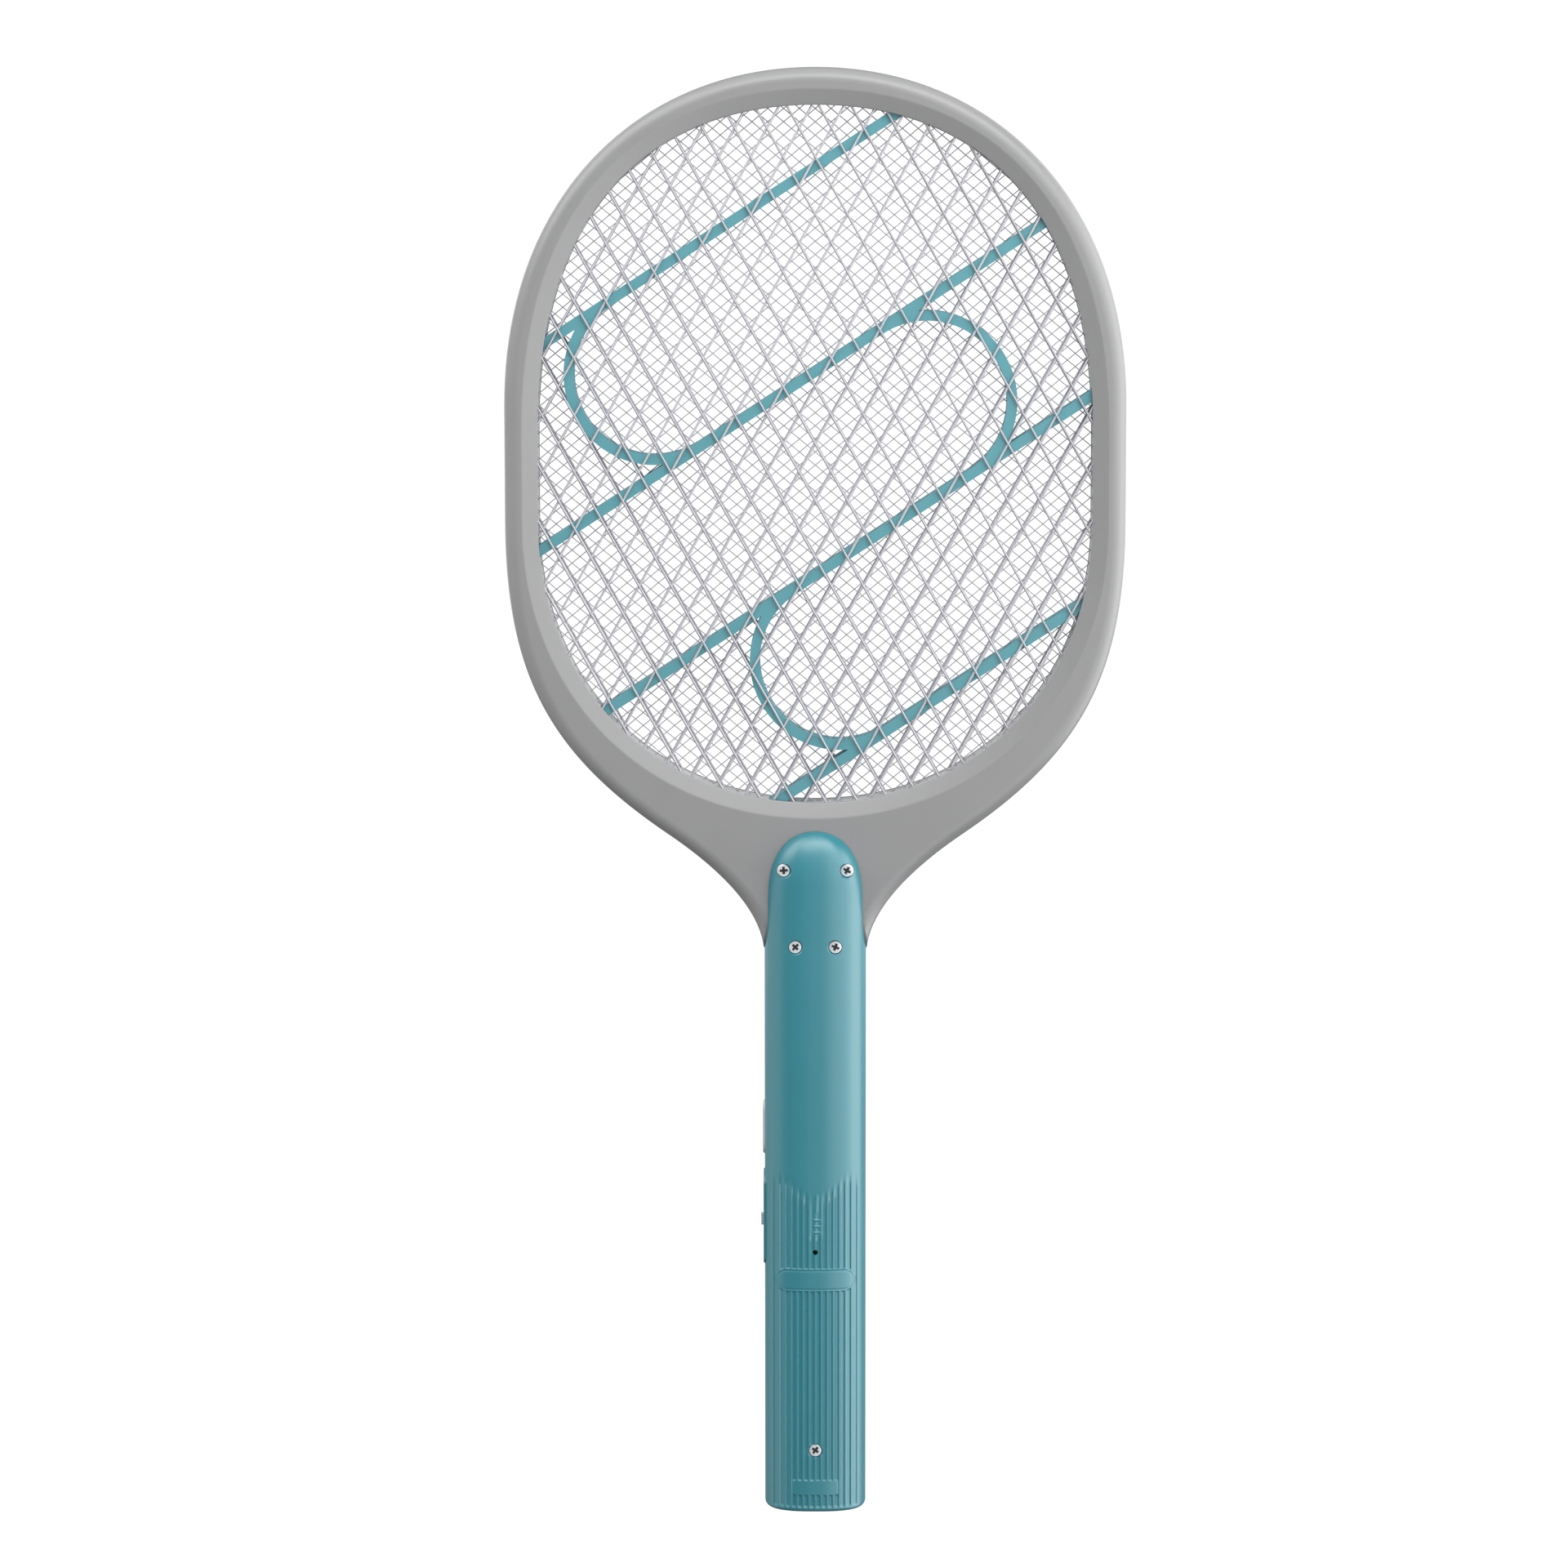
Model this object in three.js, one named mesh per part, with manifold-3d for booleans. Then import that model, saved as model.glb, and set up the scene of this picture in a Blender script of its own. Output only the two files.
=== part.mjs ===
// Electric fly swatter: a wide net head on a straight hollow handle, standing on the handle's flat end.
// Millimetres. +Z runs from the handle's end to the head and +X is right.
// -Y is the rear, where the screws are, and y = 0 is the split plane between the two halves.
// The origin is the middle of the handle's flat end.
import * as THREE from "three";
import { mergeVertices } from "three/addons/utils/BufferGeometryUtils.js";
import Module from "manifold-3d";

const wasm = await Module();
wasm.setup();

// ---------- driving dimensions ----------

const CLEARANCE = 0.3; // between pieces that touch
const REAR = -1; // sign of y on the screw side
const FRONT = 1;

// handle section
const HANDLE_HALF_WIDTH = 17.6;
const HANDLE_HALF_DEPTH = 16.5;
const HANDLE_SQUARENESS = 2.8; // exponent of the section's superellipse
const HANDLE_WALL = 2.1;
const HANDLE_END_FILLET = 1.5;
const END_WALL = 3;

// screws
const SCREW_HEAD_RADIUS = 2.1;
const SCREW_HEAD_HEIGHT = 2;
const SCREW_SHANK_RADIUS = 1.1;
const SCREW_SUNK = 0.5; // how far the head lies below the shell's surface
const BOSS_RADIUS = 3.4;
const END_SCREW_Z = 22;

// what the handle holds, from its end up to the neck: together these give its length
const CELL_RADIUS = 7;
const CELL_LENGTH = 50;
const CELL_BOTTOM_Z = END_SCREW_Z + BOSS_RADIUS + 3.6;
const BOARD_LENGTH = 96;
const BOARD_BOTTOM_Z = CELL_BOTTOM_Z + CELL_LENGTH + 5;
const BOARD_TOP_Z = BOARD_BOTTOM_Z + BOARD_LENGTH;
const BOARD_THICKNESS = 1.6;
const BOARD_HALF_WIDTH = HANDLE_HALF_WIDTH - HANDLE_WALL - 3.5;
const INSERT_LENGTH = 23; // the part of the neck that goes inside the handle
const INSERT_BOTTOM_Z = BOARD_TOP_Z + 6;
const LEAD_RADIUS = 0.7;
const LEAD_PITCH = 3;
const INDICATOR_RADIUS = 0.8;

// neck: where the head's foot goes into the handle
const SHOULDER_Z = INSERT_BOTTOM_Z + INSERT_LENGTH; // top of the neck's rounded foot
const NECK_FOOT = 12; // how far that foot bulges down, in the side view
const TONGUE_LENGTH = 29.8; // the arch that covers the neck, above the shoulder
const TONGUE_TOP_Z = SHOULDER_Z + TONGUE_LENGTH;
const TONGUE_ARCH = 25.3; // height of the arch below its tip
const TONGUE_SQUARENESS = 2.5;
const TONGUE_NOSE = 17; // length over which the tongue rounds down to the neck
const UPPER_SCREW_X = 0.62 * HANDLE_HALF_WIDTH;
const LOWER_SCREW_X = 0.392 * HANDLE_HALF_WIDTH;
const UPPER_SCREW_Z = SHOULDER_Z + 16.7;
const LOWER_SCREW_Z = SHOULDER_Z - 9.7;

// head: its outline bulges to the sides and sweeps in to the neck
const HEAD_HEIGHT = 291; // above the shoulder
const HEAD_HALF_WIDTH = 106.5;
const RIM_WIDTH = 11.5; // beside the opening
const RIM_TOP_WIDTH = 12.7;
const HEAD_TOP_Z = SHOULDER_Z + HEAD_HEIGHT;
const OPENING_TOP_Z = HEAD_TOP_Z - RIM_TOP_WIDTH;
const OPENING_BOTTOM_Z = TONGUE_TOP_Z + 9.6;
const OPENING_HEIGHT = OPENING_TOP_Z - OPENING_BOTTOM_Z;
const OPENING_HALF_WIDTH = HEAD_HALF_WIDTH - RIM_WIDTH;
const NECK_TURN_ANGLE = 0.6; // direction of the outline where it turns concave
const NECK_HALF_WIDTH = HANDLE_HALF_WIDTH + 0.1;
const NECK_BOTTOM_Z = SHOULDER_Z - 14;

// frame section, measured outwards from the split plane
const FRAME_HALF_DEPTH = 9;
const FRAME_WALL = 2.2;
const BEVEL_WIDTH = 5.2;
const LIP_OUTER_Y = FRAME_HALF_DEPTH - 2; // the bevel's inner edge
const LIP_THICKNESS = 0.6;
const LIP_INNER_Y = LIP_OUTER_Y - LIP_THICKNESS;
const SPLIT_GAP = 0.15; // half of the gap between the two halves

// nets, from the outside in
const OUTER_WIRE = 0.8;
const OUTER_NET_Y = LIP_INNER_Y - CLEARANCE - OUTER_WIRE / 2;
const OUTER_CELL_WIDTH = 11;
const OUTER_CELL_HEIGHT = 19.51;
const OUTER_CELLS_SKIPPED = 3; // the solid keeps one wire in this many
const INNER_WIRE = 0.4;
const INNER_CELL_WIDTH = 5.4;
const INNER_CELL_HEIGHT = 4.52;
const INNER_CELLS_SKIPPED = 8;
const NET_EDGE = 1.6; // how far the nets reach in behind the frame's lip
const NET_SELVEDGE = 0.9; // width of the strip that ends all the wires there
const NET_MIDDLE_Z = OPENING_BOTTOM_Z + 123.65; // height of one crossing on the middle line

// net carriers and the serpentine ribs that hold the nets apart
const CARRIER_TOP_Y = OUTER_NET_Y - OUTER_WIRE / 2 - CLEARANCE;
const CARRIER_BOTTOM_Y = INNER_WIRE / 2 + CLEARANCE;
const CARRIER_INNER = 0.2; // offsets from the opening
const CARRIER_OUTER = RIM_WIDTH - FRAME_WALL - CLEARANCE;
const RIB_WIDTH = 3.5;
const RIB_PITCH = 0.2449 * OPENING_HEIGHT; // between the middles of two straight runs
const RIB_ANGLE = THREE.MathUtils.degToRad(33);
const RIB_MIDDLE_Z = OPENING_BOTTOM_Z + 0.4747 * OPENING_HEIGHT;
const RIB_TIPS = [-0.6, 0.787, -0.601]; // how far along its runs each U turn ends, in half widths
const RIB_POCKET = 2.2; // depth of the ribs' ends in the carrier

// controls on the -X side, from the board's lower end upwards
const PLATE_BOTTOM_Z = BOARD_BOTTOM_Z + 2.1;
const PLATE_LENGTH = 32.9;
const PLATE_TOP_Z = PLATE_BOTTOM_Z + PLATE_LENGTH;
const PLATE_HALF_DEPTH = 6;
const PLATE_PROUD = 0.45;
const PORT_HEIGHT = 8.94;
const PORT_DEPTH = 3.26;
const PORT_Z = PLATE_BOTTOM_Z + PORT_HEIGHT / 2 + 1.83;
const KNOB_LENGTH = 3.9;
const KNOB_Z = PORT_Z + PORT_HEIGHT / 2 + KNOB_LENGTH / 2 + 2.28;
const KNOB_HALF_DEPTH = 1.5;
const KNOB_PROUD = 1.35;
const KNOB_TRAVEL = 4;
const FIRE_LENGTH = 19.1;
const FIRE_Z = PLATE_TOP_Z + FIRE_LENGTH / 2 + 5.3;
const FIRE_HALF_DEPTH = 4;
const FIRE_PROUD = 0.7;
const FIRE_TRAVEL = 0.6;

// the circuit board lies behind the charging port
const BOARD_FACE_Y = -PORT_DEPTH / 2 - CLEARANCE;
const BOARD_Y = BOARD_FACE_Y - BOARD_THICKNESS;

// screws: places in the rear view
const SCREW_PLACES = [
  ["screw_neck_upper_left", -UPPER_SCREW_X, UPPER_SCREW_Z],
  ["screw_neck_upper_right", UPPER_SCREW_X, UPPER_SCREW_Z],
  ["screw_neck_lower_left", -LOWER_SCREW_X, LOWER_SCREW_Z],
  ["screw_neck_lower_right", LOWER_SCREW_X, LOWER_SCREW_Z],
  ["screw_handle_end", 0, END_SCREW_Z],
];
const POST_RADIUS = 2.6;
const POST_X = BOARD_HALF_WIDTH - 3;
const BOARD_SCREWS = [
  ["board_screw_lower", POST_X, BOARD_BOTTOM_Z + 6],
  ["board_screw_upper", POST_X, BOARD_TOP_Z - 5],
];

// ---------- solids ----------

function solidOf(geometry) {
  const bare = geometry.clone();
  bare.deleteAttribute("normal");
  bare.deleteAttribute("uv");
  const merged = mergeVertices(bare, 1e-4);
  const mesh = new wasm.Mesh({
    numProp: 3,
    vertProperties: merged.attributes.position.array,
    triVerts: new Uint32Array(merged.index.array),
  });
  return new wasm.Manifold(mesh);
}

function geometryOf(solid) {
  const mesh = solid.getMesh();
  const geometry = new THREE.BufferGeometry();
  geometry.setAttribute("position", new THREE.BufferAttribute(mesh.vertProperties, 3));
  geometry.setIndex(new THREE.BufferAttribute(mesh.triVerts, 1));
  geometry.computeVertexNormals();
  return geometry;
}

function joined(solids) {
  return solids.reduce((sum, solid) => sum.add(solid));
}

function cutFrom(solid, cuts) {
  return cuts.reduce((rest, cut) => rest.subtract(cut), solid);
}

// A box from its low and high corners.
function box(low, high) {
  const size = high.map((value, i) => value - low[i]);
  const middle = high.map((value, i) => (value + low[i]) / 2);
  return solidOf(new THREE.BoxGeometry(...size).translate(...middle));
}

// A round rod from one point to another.
function rod(radius, from, to, sides = 14) {
  const start = new THREE.Vector3(...from);
  const along = new THREE.Vector3(...to).sub(start);
  const turn = new THREE.Quaternion().setFromUnitVectors(
    new THREE.Vector3(0, 1, 0),
    along.clone().normalize(),
  );
  const geometry = new THREE.CylinderGeometry(radius, radius, along.length(), sides);
  geometry.applyQuaternion(turn);
  geometry.translate(...start.add(along.multiplyScalar(0.5)).toArray());
  return solidOf(geometry);
}

// A shape drawn in x and z, extruded from y = low to y = high.
function plate(shape, low, high, curveSegments = 12) {
  const geometry = new THREE.ExtrudeGeometry(shape, {
    depth: high - low,
    bevelEnabled: false,
    curveSegments,
  });
  geometry.rotateX(Math.PI / 2);
  geometry.translate(0, high, 0);
  return solidOf(geometry);
}

// A shape drawn in y and z, extruded from x = low to x = high.
function sidePlate(shape, low, high, curveSegments = 10) {
  const geometry = new THREE.ExtrudeGeometry(shape, {
    depth: high - low,
    bevelEnabled: false,
    curveSegments,
  });
  const toSide = new THREE.Matrix4().set(0, 0, 1, low, 1, 0, 0, 0, 0, 1, 0, 0, 0, 0, 0, 1);
  geometry.applyMatrix4(toSide);
  return solidOf(geometry);
}

// An upright stadium in y and z around a middle height.
function stadium(middleZ, length, halfDepth) {
  const straight = length / 2 - halfDepth;
  const shape = new THREE.Shape();
  shape.absarc(0, middleZ + straight, halfDepth, 0, Math.PI);
  shape.absarc(0, middleZ - straight, halfDepth, Math.PI, 2 * Math.PI);
  return shape;
}

// Quads between closed loops of equal length, two triangles each.
function skin(loops, closed) {
  const count = loops[0].length;
  const faces = [];
  const bands = closed ? loops.length : loops.length - 1;
  for (let band = 0; band < bands; band++) {
    const here = band * count;
    const next = ((band + 1) % loops.length) * count;
    for (let i = 0; i < count; i++) {
      const j = (i + 1) % count;
      faces.push(here + i, here + j, next + j);
      faces.push(here + i, next + j, next + i);
    }
  }
  return faces;
}

function solidFromFaces(points, faces) {
  const geometry = new THREE.BufferGeometry();
  geometry.setFromPoints(points);
  geometry.setIndex(faces);
  const solid = solidOf(geometry);
  if (solid.volume() > 0) return solid;
  for (let i = 0; i < faces.length; i += 3) {
    [faces[i + 1], faces[i + 2]] = [faces[i + 2], faces[i + 1]];
  }
  geometry.setIndex(faces);
  return solidOf(geometry);
}

// A ring whose section passes through every loop in turn and back to the first.
function ring(loops) {
  return solidFromFaces(loops.flat(), skin(loops, true));
}

// A solid through a stack of loops, closed by a fan at each end.
function loft(loops) {
  const count = loops[0].length;
  const points = loops.flat();
  const faces = skin(loops, false);
  const last = (loops.length - 1) * count;
  const ends = [
    [0, false],
    [last, true],
  ];
  for (const [first, isTop] of ends) {
    const middle = points.length;
    const centre = new THREE.Vector3();
    for (let i = 0; i < count; i++) centre.addScaledVector(points[first + i], 1 / count);
    points.push(centre);
    for (let i = 0; i < count; i++) {
      const j = (i + 1) % count;
      if (isTop) faces.push(middle, first + i, first + j);
      else faces.push(middle, first + j, first + i);
    }
  }
  return solidFromFaces(points, faces);
}

// A wire of six sides along a smooth curve through its points.
function lead(points) {
  const route = new THREE.CatmullRomCurve3(points.map((p) => new THREE.Vector3(...p)));
  const section = new THREE.Shape();
  section.absarc(0, 0, LEAD_RADIUS, 0, 2 * Math.PI);
  const geometry = new THREE.ExtrudeGeometry(section, {
    steps: 9,
    curveSegments: 3,
    bevelEnabled: false,
    extrudePath: route,
  });
  return solidOf(geometry);
}

// ---------- outlines of the head ----------

// Right half of the frame's outer edge, from the top down to the insert's foot.
// Its curves' handles are shares of the width and height that each curve spans.
function outerEdge() {
  const wide = HEAD_HALF_WIDTH;
  const sideTop = SHOULDER_Z + 0.6034 * HEAD_HEIGHT;
  const sideBottom = SHOULDER_Z + 0.4677 * HEAD_HEIGHT;
  const turn = new THREE.Vector2(0.48 * wide, OPENING_BOTTOM_Z - 11);
  const sweep = new THREE.Vector2(Math.cos(NECK_TURN_ANGLE), Math.sin(NECK_TURN_ANGLE));
  const before = turn.clone().addScaledVector(sweep, 0.459 * wide);
  const after = turn.clone().addScaledVector(sweep, -16);
  const path = new THREE.Path();
  path.moveTo(0, HEAD_TOP_Z);
  const shoulder = HEAD_TOP_Z - 0.3856 * (HEAD_TOP_Z - sideTop);
  path.bezierCurveTo(0.57 * wide, HEAD_TOP_Z, wide, shoulder, wide, sideTop);
  path.lineTo(wide, sideBottom);
  const hip = sideBottom - 0.4893 * (sideBottom - turn.y);
  path.bezierCurveTo(wide, hip, before.x, before.y, turn.x, turn.y);
  const waist = NECK_BOTTOM_Z + 17.2;
  path.bezierCurveTo(after.x, after.y, NECK_HALF_WIDTH, waist, NECK_HALF_WIDTH, NECK_BOTTOM_Z);
  path.lineTo(NECK_HALF_WIDTH, INSERT_BOTTOM_Z);
  path.lineTo(0, INSERT_BOTTOM_Z);
  return path.getPoints(9);
}

// Right half of the opening's edge, from the top down.
function openingEdge() {
  const wide = OPENING_HALF_WIDTH;
  const sideTop = SHOULDER_Z + 0.5753 * HEAD_HEIGHT;
  const sideBottom = SHOULDER_Z + 0.4656 * HEAD_HEIGHT;
  const path = new THREE.Path();
  path.moveTo(0, OPENING_TOP_Z);
  const shoulder = OPENING_TOP_Z - 0.3282 * (OPENING_TOP_Z - sideTop);
  path.bezierCurveTo(0.5937 * wide, OPENING_TOP_Z, wide, shoulder, wide, sideTop);
  path.lineTo(wide, sideBottom);
  const hip = sideBottom - 0.5713 * (sideBottom - OPENING_BOTTOM_Z);
  path.bezierCurveTo(wide, hip, 0.5916 * wide, OPENING_BOTTOM_Z, 0, OPENING_BOTTOM_Z);
  return path.getPoints(20);
}

// A half outline and its mirror image as one closed loop.
function wholeLoop(half) {
  const left = half.slice(1, -1).reverse();
  return [...half, ...left.map((p) => new THREE.Vector2(-p.x, p.y))];
}

// Each point of a loop moved inwards by a distance, along the mean normal of its two edges.
function inset(loop, distance) {
  const count = loop.length;
  return loop.map((point, i) => {
    const before = loop[(i + count - 1) % count];
    const after = loop[(i + 1) % count];
    const first = point.clone().sub(before).normalize();
    const second = after.clone().sub(point).normalize();
    const mean = first.clone().add(second).normalize();
    const stretch = 1 / Math.max(mean.dot(first), 0.5);
    const inwards = new THREE.Vector2(mean.y, -mean.x);
    return point.clone().addScaledVector(inwards, -distance * stretch * LOOP_TURN);
  });
}

const OUTER_LOOP = wholeLoop(outerEdge());
const OPENING_LOOP = wholeLoop(openingEdge());
const LOOP_TURN = THREE.ShapeUtils.isClockWise(OUTER_LOOP) ? -1 : 1;
const HEAD_MIDDLE = new THREE.Vector2(0, (OPENING_TOP_Z + OPENING_BOTTOM_Z) / 2);

// The point of a loop that lies in the same direction from the head's middle as a given point.
function castOnto(loop, towards) {
  const ray = towards.clone().sub(HEAD_MIDDLE).normalize();
  for (let i = 0; i < loop.length; i++) {
    const a = loop[i].clone().sub(HEAD_MIDDLE);
    const b = loop[(i + 1) % loop.length].clone().sub(HEAD_MIDDLE);
    const sideA = ray.cross(a);
    const sideB = ray.cross(b);
    const crosses = sideA * sideB <= 0 && sideA !== sideB;
    const point = a.lerp(b, sideA / (sideA - sideB || 1));
    if (crosses && point.dot(ray) > 0) return point.add(HEAD_MIDDLE);
  }
  throw new Error("the head's middle lies outside the loop");
}

// The opening's edge grown outwards by a distance, one point for each point of the outer edge.
function openingGrown(distance) {
  const grown = inset(OPENING_LOOP, -distance);
  return OUTER_LOOP.map((point) => castOnto(grown, point));
}

function atDepth(loop, y) {
  return loop.map((p) => new THREE.Vector3(p.x, y, p.y));
}

// The opening grown by a distance, as a slab between two depths.
function openingSlab(distance, low, high) {
  return plate(new THREE.Shape(inset(OPENING_LOOP, -distance)), low, high);
}

// ---------- handle ----------

// Points of a superellipse in x and y.
function handleSection(halfWidth, halfDepth, z, count = 32) {
  const points = [];
  const power = 2 / HANDLE_SQUARENESS;
  for (let i = 0; i < count; i++) {
    const angle = (2 * Math.PI * i) / count;
    const c = Math.cos(angle);
    const s = Math.sin(angle);
    const x = halfWidth * Math.sign(c) * Math.abs(c) ** power;
    const y = halfDepth * Math.sign(s) * Math.abs(s) ** power;
    points.push(new THREE.Vector3(x, y, z));
  }
  return points;
}

const TONGUE_START_Z = TONGUE_TOP_Z - TONGUE_ARCH;

// Share of the handle's full width that the tongue has at a height.
function archShare(z) {
  if (z <= TONGUE_START_Z) return 1;
  const up = Math.min((z - TONGUE_START_Z) / TONGUE_ARCH, 1);
  return (1 - up ** TONGUE_SQUARENESS) ** (1 / TONGUE_SQUARENESS);
}

// Depth of the handle's outer surface on its middle line at a height.
function tongueDepth(z) {
  const noseStart = TONGUE_TOP_Z - TONGUE_NOSE;
  if (z <= noseStart) return HANDLE_HALF_DEPTH;
  const up = Math.min((z - noseStart) / TONGUE_NOSE, 1);
  const rise = HANDLE_HALF_DEPTH - FRAME_HALF_DEPTH;
  return FRAME_HALF_DEPTH + rise * Math.sqrt(1 - up * up);
}

// Depth of the handle's outer surface at a place in the rear view.
function surfaceDepth(x, z) {
  const share = Math.abs(x) / (HANDLE_HALF_WIDTH * archShare(z));
  return tongueDepth(z) * (1 - share ** HANDLE_SQUARENESS) ** (1 / HANDLE_SQUARENESS);
}

// Heights at which the handle's sections are taken.
function handleHeights(bottom) {
  const heights = [bottom, TONGUE_START_Z];
  const steps = 6;
  for (let i = 1; i <= steps; i++) {
    const up = Math.sin((Math.PI / 2) * (i / steps));
    heights.push(TONGUE_START_Z + TONGUE_ARCH * 0.998 * up);
  }
  return heights;
}

function handleOutside() {
  const fillet = HANDLE_END_FILLET;
  const loops = [];
  for (const angle of [0, Math.PI / 6, Math.PI / 3]) {
    const less = fillet * (1 - Math.sin(angle));
    const z = fillet * (1 - Math.cos(angle));
    loops.push(handleSection(HANDLE_HALF_WIDTH - less, HANDLE_HALF_DEPTH - less, z));
  }
  for (const z of handleHeights(fillet)) {
    loops.push(handleSection(HANDLE_HALF_WIDTH * archShare(z), tongueDepth(z), z));
  }
  return loft(loops);
}

function handleInside() {
  const loops = handleHeights(END_WALL)
    .filter((z) => z < TONGUE_TOP_Z - 2 * HANDLE_WALL)
    .map((z) => {
      const width = HANDLE_HALF_WIDTH * archShare(z + HANDLE_WALL) - HANDLE_WALL;
      return handleSection(width, tongueDepth(z + HANDLE_WALL) - HANDLE_WALL, z);
    });
  return loft(loops);
}

// The room that the frame's neck takes, seen from the side: a slot with a rounded foot.
function neckRoom(clearance) {
  const halfDepth = FRAME_HALF_DEPTH + clearance;
  const shape = new THREE.Shape();
  shape.moveTo(halfDepth, HEAD_TOP_Z);
  shape.lineTo(-halfDepth, HEAD_TOP_Z);
  shape.lineTo(-halfDepth, SHOULDER_Z);
  shape.absellipse(0, SHOULDER_Z, halfDepth, NECK_FOOT + clearance, Math.PI, 2 * Math.PI);
  return shape;
}

function screwSeat(x, z) {
  return surfaceDepth(x, z) - SCREW_SUNK - SCREW_HEAD_HEIGHT;
}

function passesThroughNeck([, , z]) {
  return z > INSERT_BOTTOM_Z;
}

// Posts for the screws, from the split plane or the neck out to the shell.
function bosses(side) {
  return SCREW_PLACES.map((place) => {
    const [, x, z] = place;
    const start = passesThroughNeck(place) ? FRAME_HALF_DEPTH + CLEARANCE : SPLIT_GAP;
    return rod(BOSS_RADIUS, [x, side * start, z], [x, side * HANDLE_HALF_DEPTH, z]);
  });
}

function screwCuts(side) {
  return SCREW_PLACES.map(([, x, z]) => {
    const seat = screwSeat(x, z);
    const shank = SCREW_SHANK_RADIUS + CLEARANCE;
    if (side === FRONT) {
      return rod(shank, [x, -1, z], [x, seat, z]);
    }
    const head = rod(SCREW_HEAD_RADIUS + CLEARANCE, [x, -seat, z], [x, -HANDLE_HALF_DEPTH - 1, z]);
    return head.add(rod(shank, [x, 1, z], [x, -seat - 0.1, z]));
  });
}

const WALL_INNER_X = -(HANDLE_HALF_WIDTH - HANDLE_WALL);

function controlCuts() {
  const deep = WALL_INNER_X + 4;
  const out = -HANDLE_HALF_WIDTH - 5;
  const gap = CLEARANCE;
  const plateCut = box(
    [out, -PLATE_HALF_DEPTH - gap, PLATE_BOTTOM_Z - gap],
    [deep, PLATE_HALF_DEPTH + gap, PLATE_TOP_Z + gap],
  );
  const fire = stadium(FIRE_Z, FIRE_LENGTH + 2 * gap, FIRE_HALF_DEPTH + gap);
  return [plateCut, sidePlate(fire, out, deep)];
}

function halfSpace(side) {
  const far = 2 * HANDLE_HALF_WIDTH + HANDLE_HALF_DEPTH;
  const low = side === REAR ? -far : SPLIT_GAP;
  const high = side === REAR ? -SPLIT_GAP : far;
  return box([-far, low, -1], [far, high, TONGUE_TOP_Z + 1]);
}

function handleShell(side) {
  const outside = handleOutside();
  const walls = outside.subtract(handleInside());
  const posts = bosses(side).map((post) => post.intersect(outside));
  const neck = sidePlate(neckRoom(CLEARANCE), -HEAD_HALF_WIDTH, HEAD_HALF_WIDTH, 14);
  const solid = joined([walls, ...posts]).intersect(halfSpace(side));
  const cuts = [neck, ...screwCuts(side), ...controlCuts()];
  if (side === REAR) cuts.push(indicatorHole());
  return cutFrom(solid, cuts);
}

function indicatorHole() {
  return rod(INDICATOR_RADIUS + CLEARANCE, [0, 0, PORT_Z], [0, -HANDLE_HALF_DEPTH - 1, PORT_Z]);
}

// Half width of the handle's inside at a distance from the split plane.
function handleRoomAt(y) {
  const share = y / (HANDLE_HALF_DEPTH - HANDLE_WALL);
  const width = HANDLE_HALF_WIDTH - HANDLE_WALL;
  return width * (1 - share ** HANDLE_SQUARENESS) ** (1 / HANDLE_SQUARENESS);
}

// ---------- head frame ----------

// Slot in the insert's foot through which the leads reach the head.
function leadSlot() {
  const half = 2 * LEAD_PITCH;
  return box([-half, -5, INSERT_BOTTOM_Z - 1], [half, 5, INSERT_BOTTOM_Z + 2 * FRAME_WALL]);
}

// What the neck may fill: the slot in the handle's sides, and the inside of the handle.
function neckLimits() {
  const wide = HEAD_HALF_WIDTH + 1;
  const slot = sidePlate(neckRoom(0), -wide, wide, 14);
  const deep = FRAME_HALF_DEPTH;
  const half = handleRoomAt(deep) - 1.5 * CLEARANCE;
  return slot.add(box([-half, -deep, INSERT_BOTTOM_Z], [half, deep, SHOULDER_Z]));
}

function frameCover(side) {
  const edge = (distance, y) => atDepth(inset(OUTER_LOOP, distance), side * y);
  const mouth = (distance, y) => atDepth(openingGrown(distance), side * y);
  const cover = ring([
    edge(0, SPLIT_GAP),
    edge(0, FRAME_HALF_DEPTH - 4.6),
    edge(0.7, FRAME_HALF_DEPTH - 2),
    edge(2.2, FRAME_HALF_DEPTH - 0.5),
    edge(4.2, FRAME_HALF_DEPTH),
    mouth(BEVEL_WIDTH, FRAME_HALF_DEPTH),
    mouth(0, LIP_OUTER_Y),
    mouth(0, LIP_INNER_Y),
    edge(FRAME_WALL, LIP_INNER_Y),
    edge(FRAME_WALL, SPLIT_GAP),
  ]);
  const far = 2 * FRAME_HALF_DEPTH;
  const holes = SCREW_PLACES.filter(passesThroughNeck).map(([, x, z]) =>
    rod(SCREW_SHANK_RADIUS + CLEARANCE, [x, -far, z], [x, far, z]),
  );
  return cutFrom(cover.intersect(neckLimits()), [...holes, leadSlot()]);
}

// ---------- ribs and carriers ----------

// A point given along and across the straight runs, in x and z.
function alongRuns(along, across) {
  const c = Math.cos(RIB_ANGLE);
  const s = Math.sin(RIB_ANGLE);
  return [along * c - across * s, RIB_MIDDLE_Z + along * s + across * c];
}

const RUN_OFFSETS = [1.5, 0.5, -0.5, -1.5].map((share) => share * RIB_PITCH);

function ribRun(across, width, low, high) {
  const length = 2 * HEAD_HALF_WIDTH + 60;
  const [x, z] = alongRuns(0, across);
  const geometry = new THREE.BoxGeometry(length, high - low, width);
  geometry.rotateY(-RIB_ANGLE);
  geometry.translate(x, (low + high) / 2, z);
  return solidOf(geometry);
}

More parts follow.
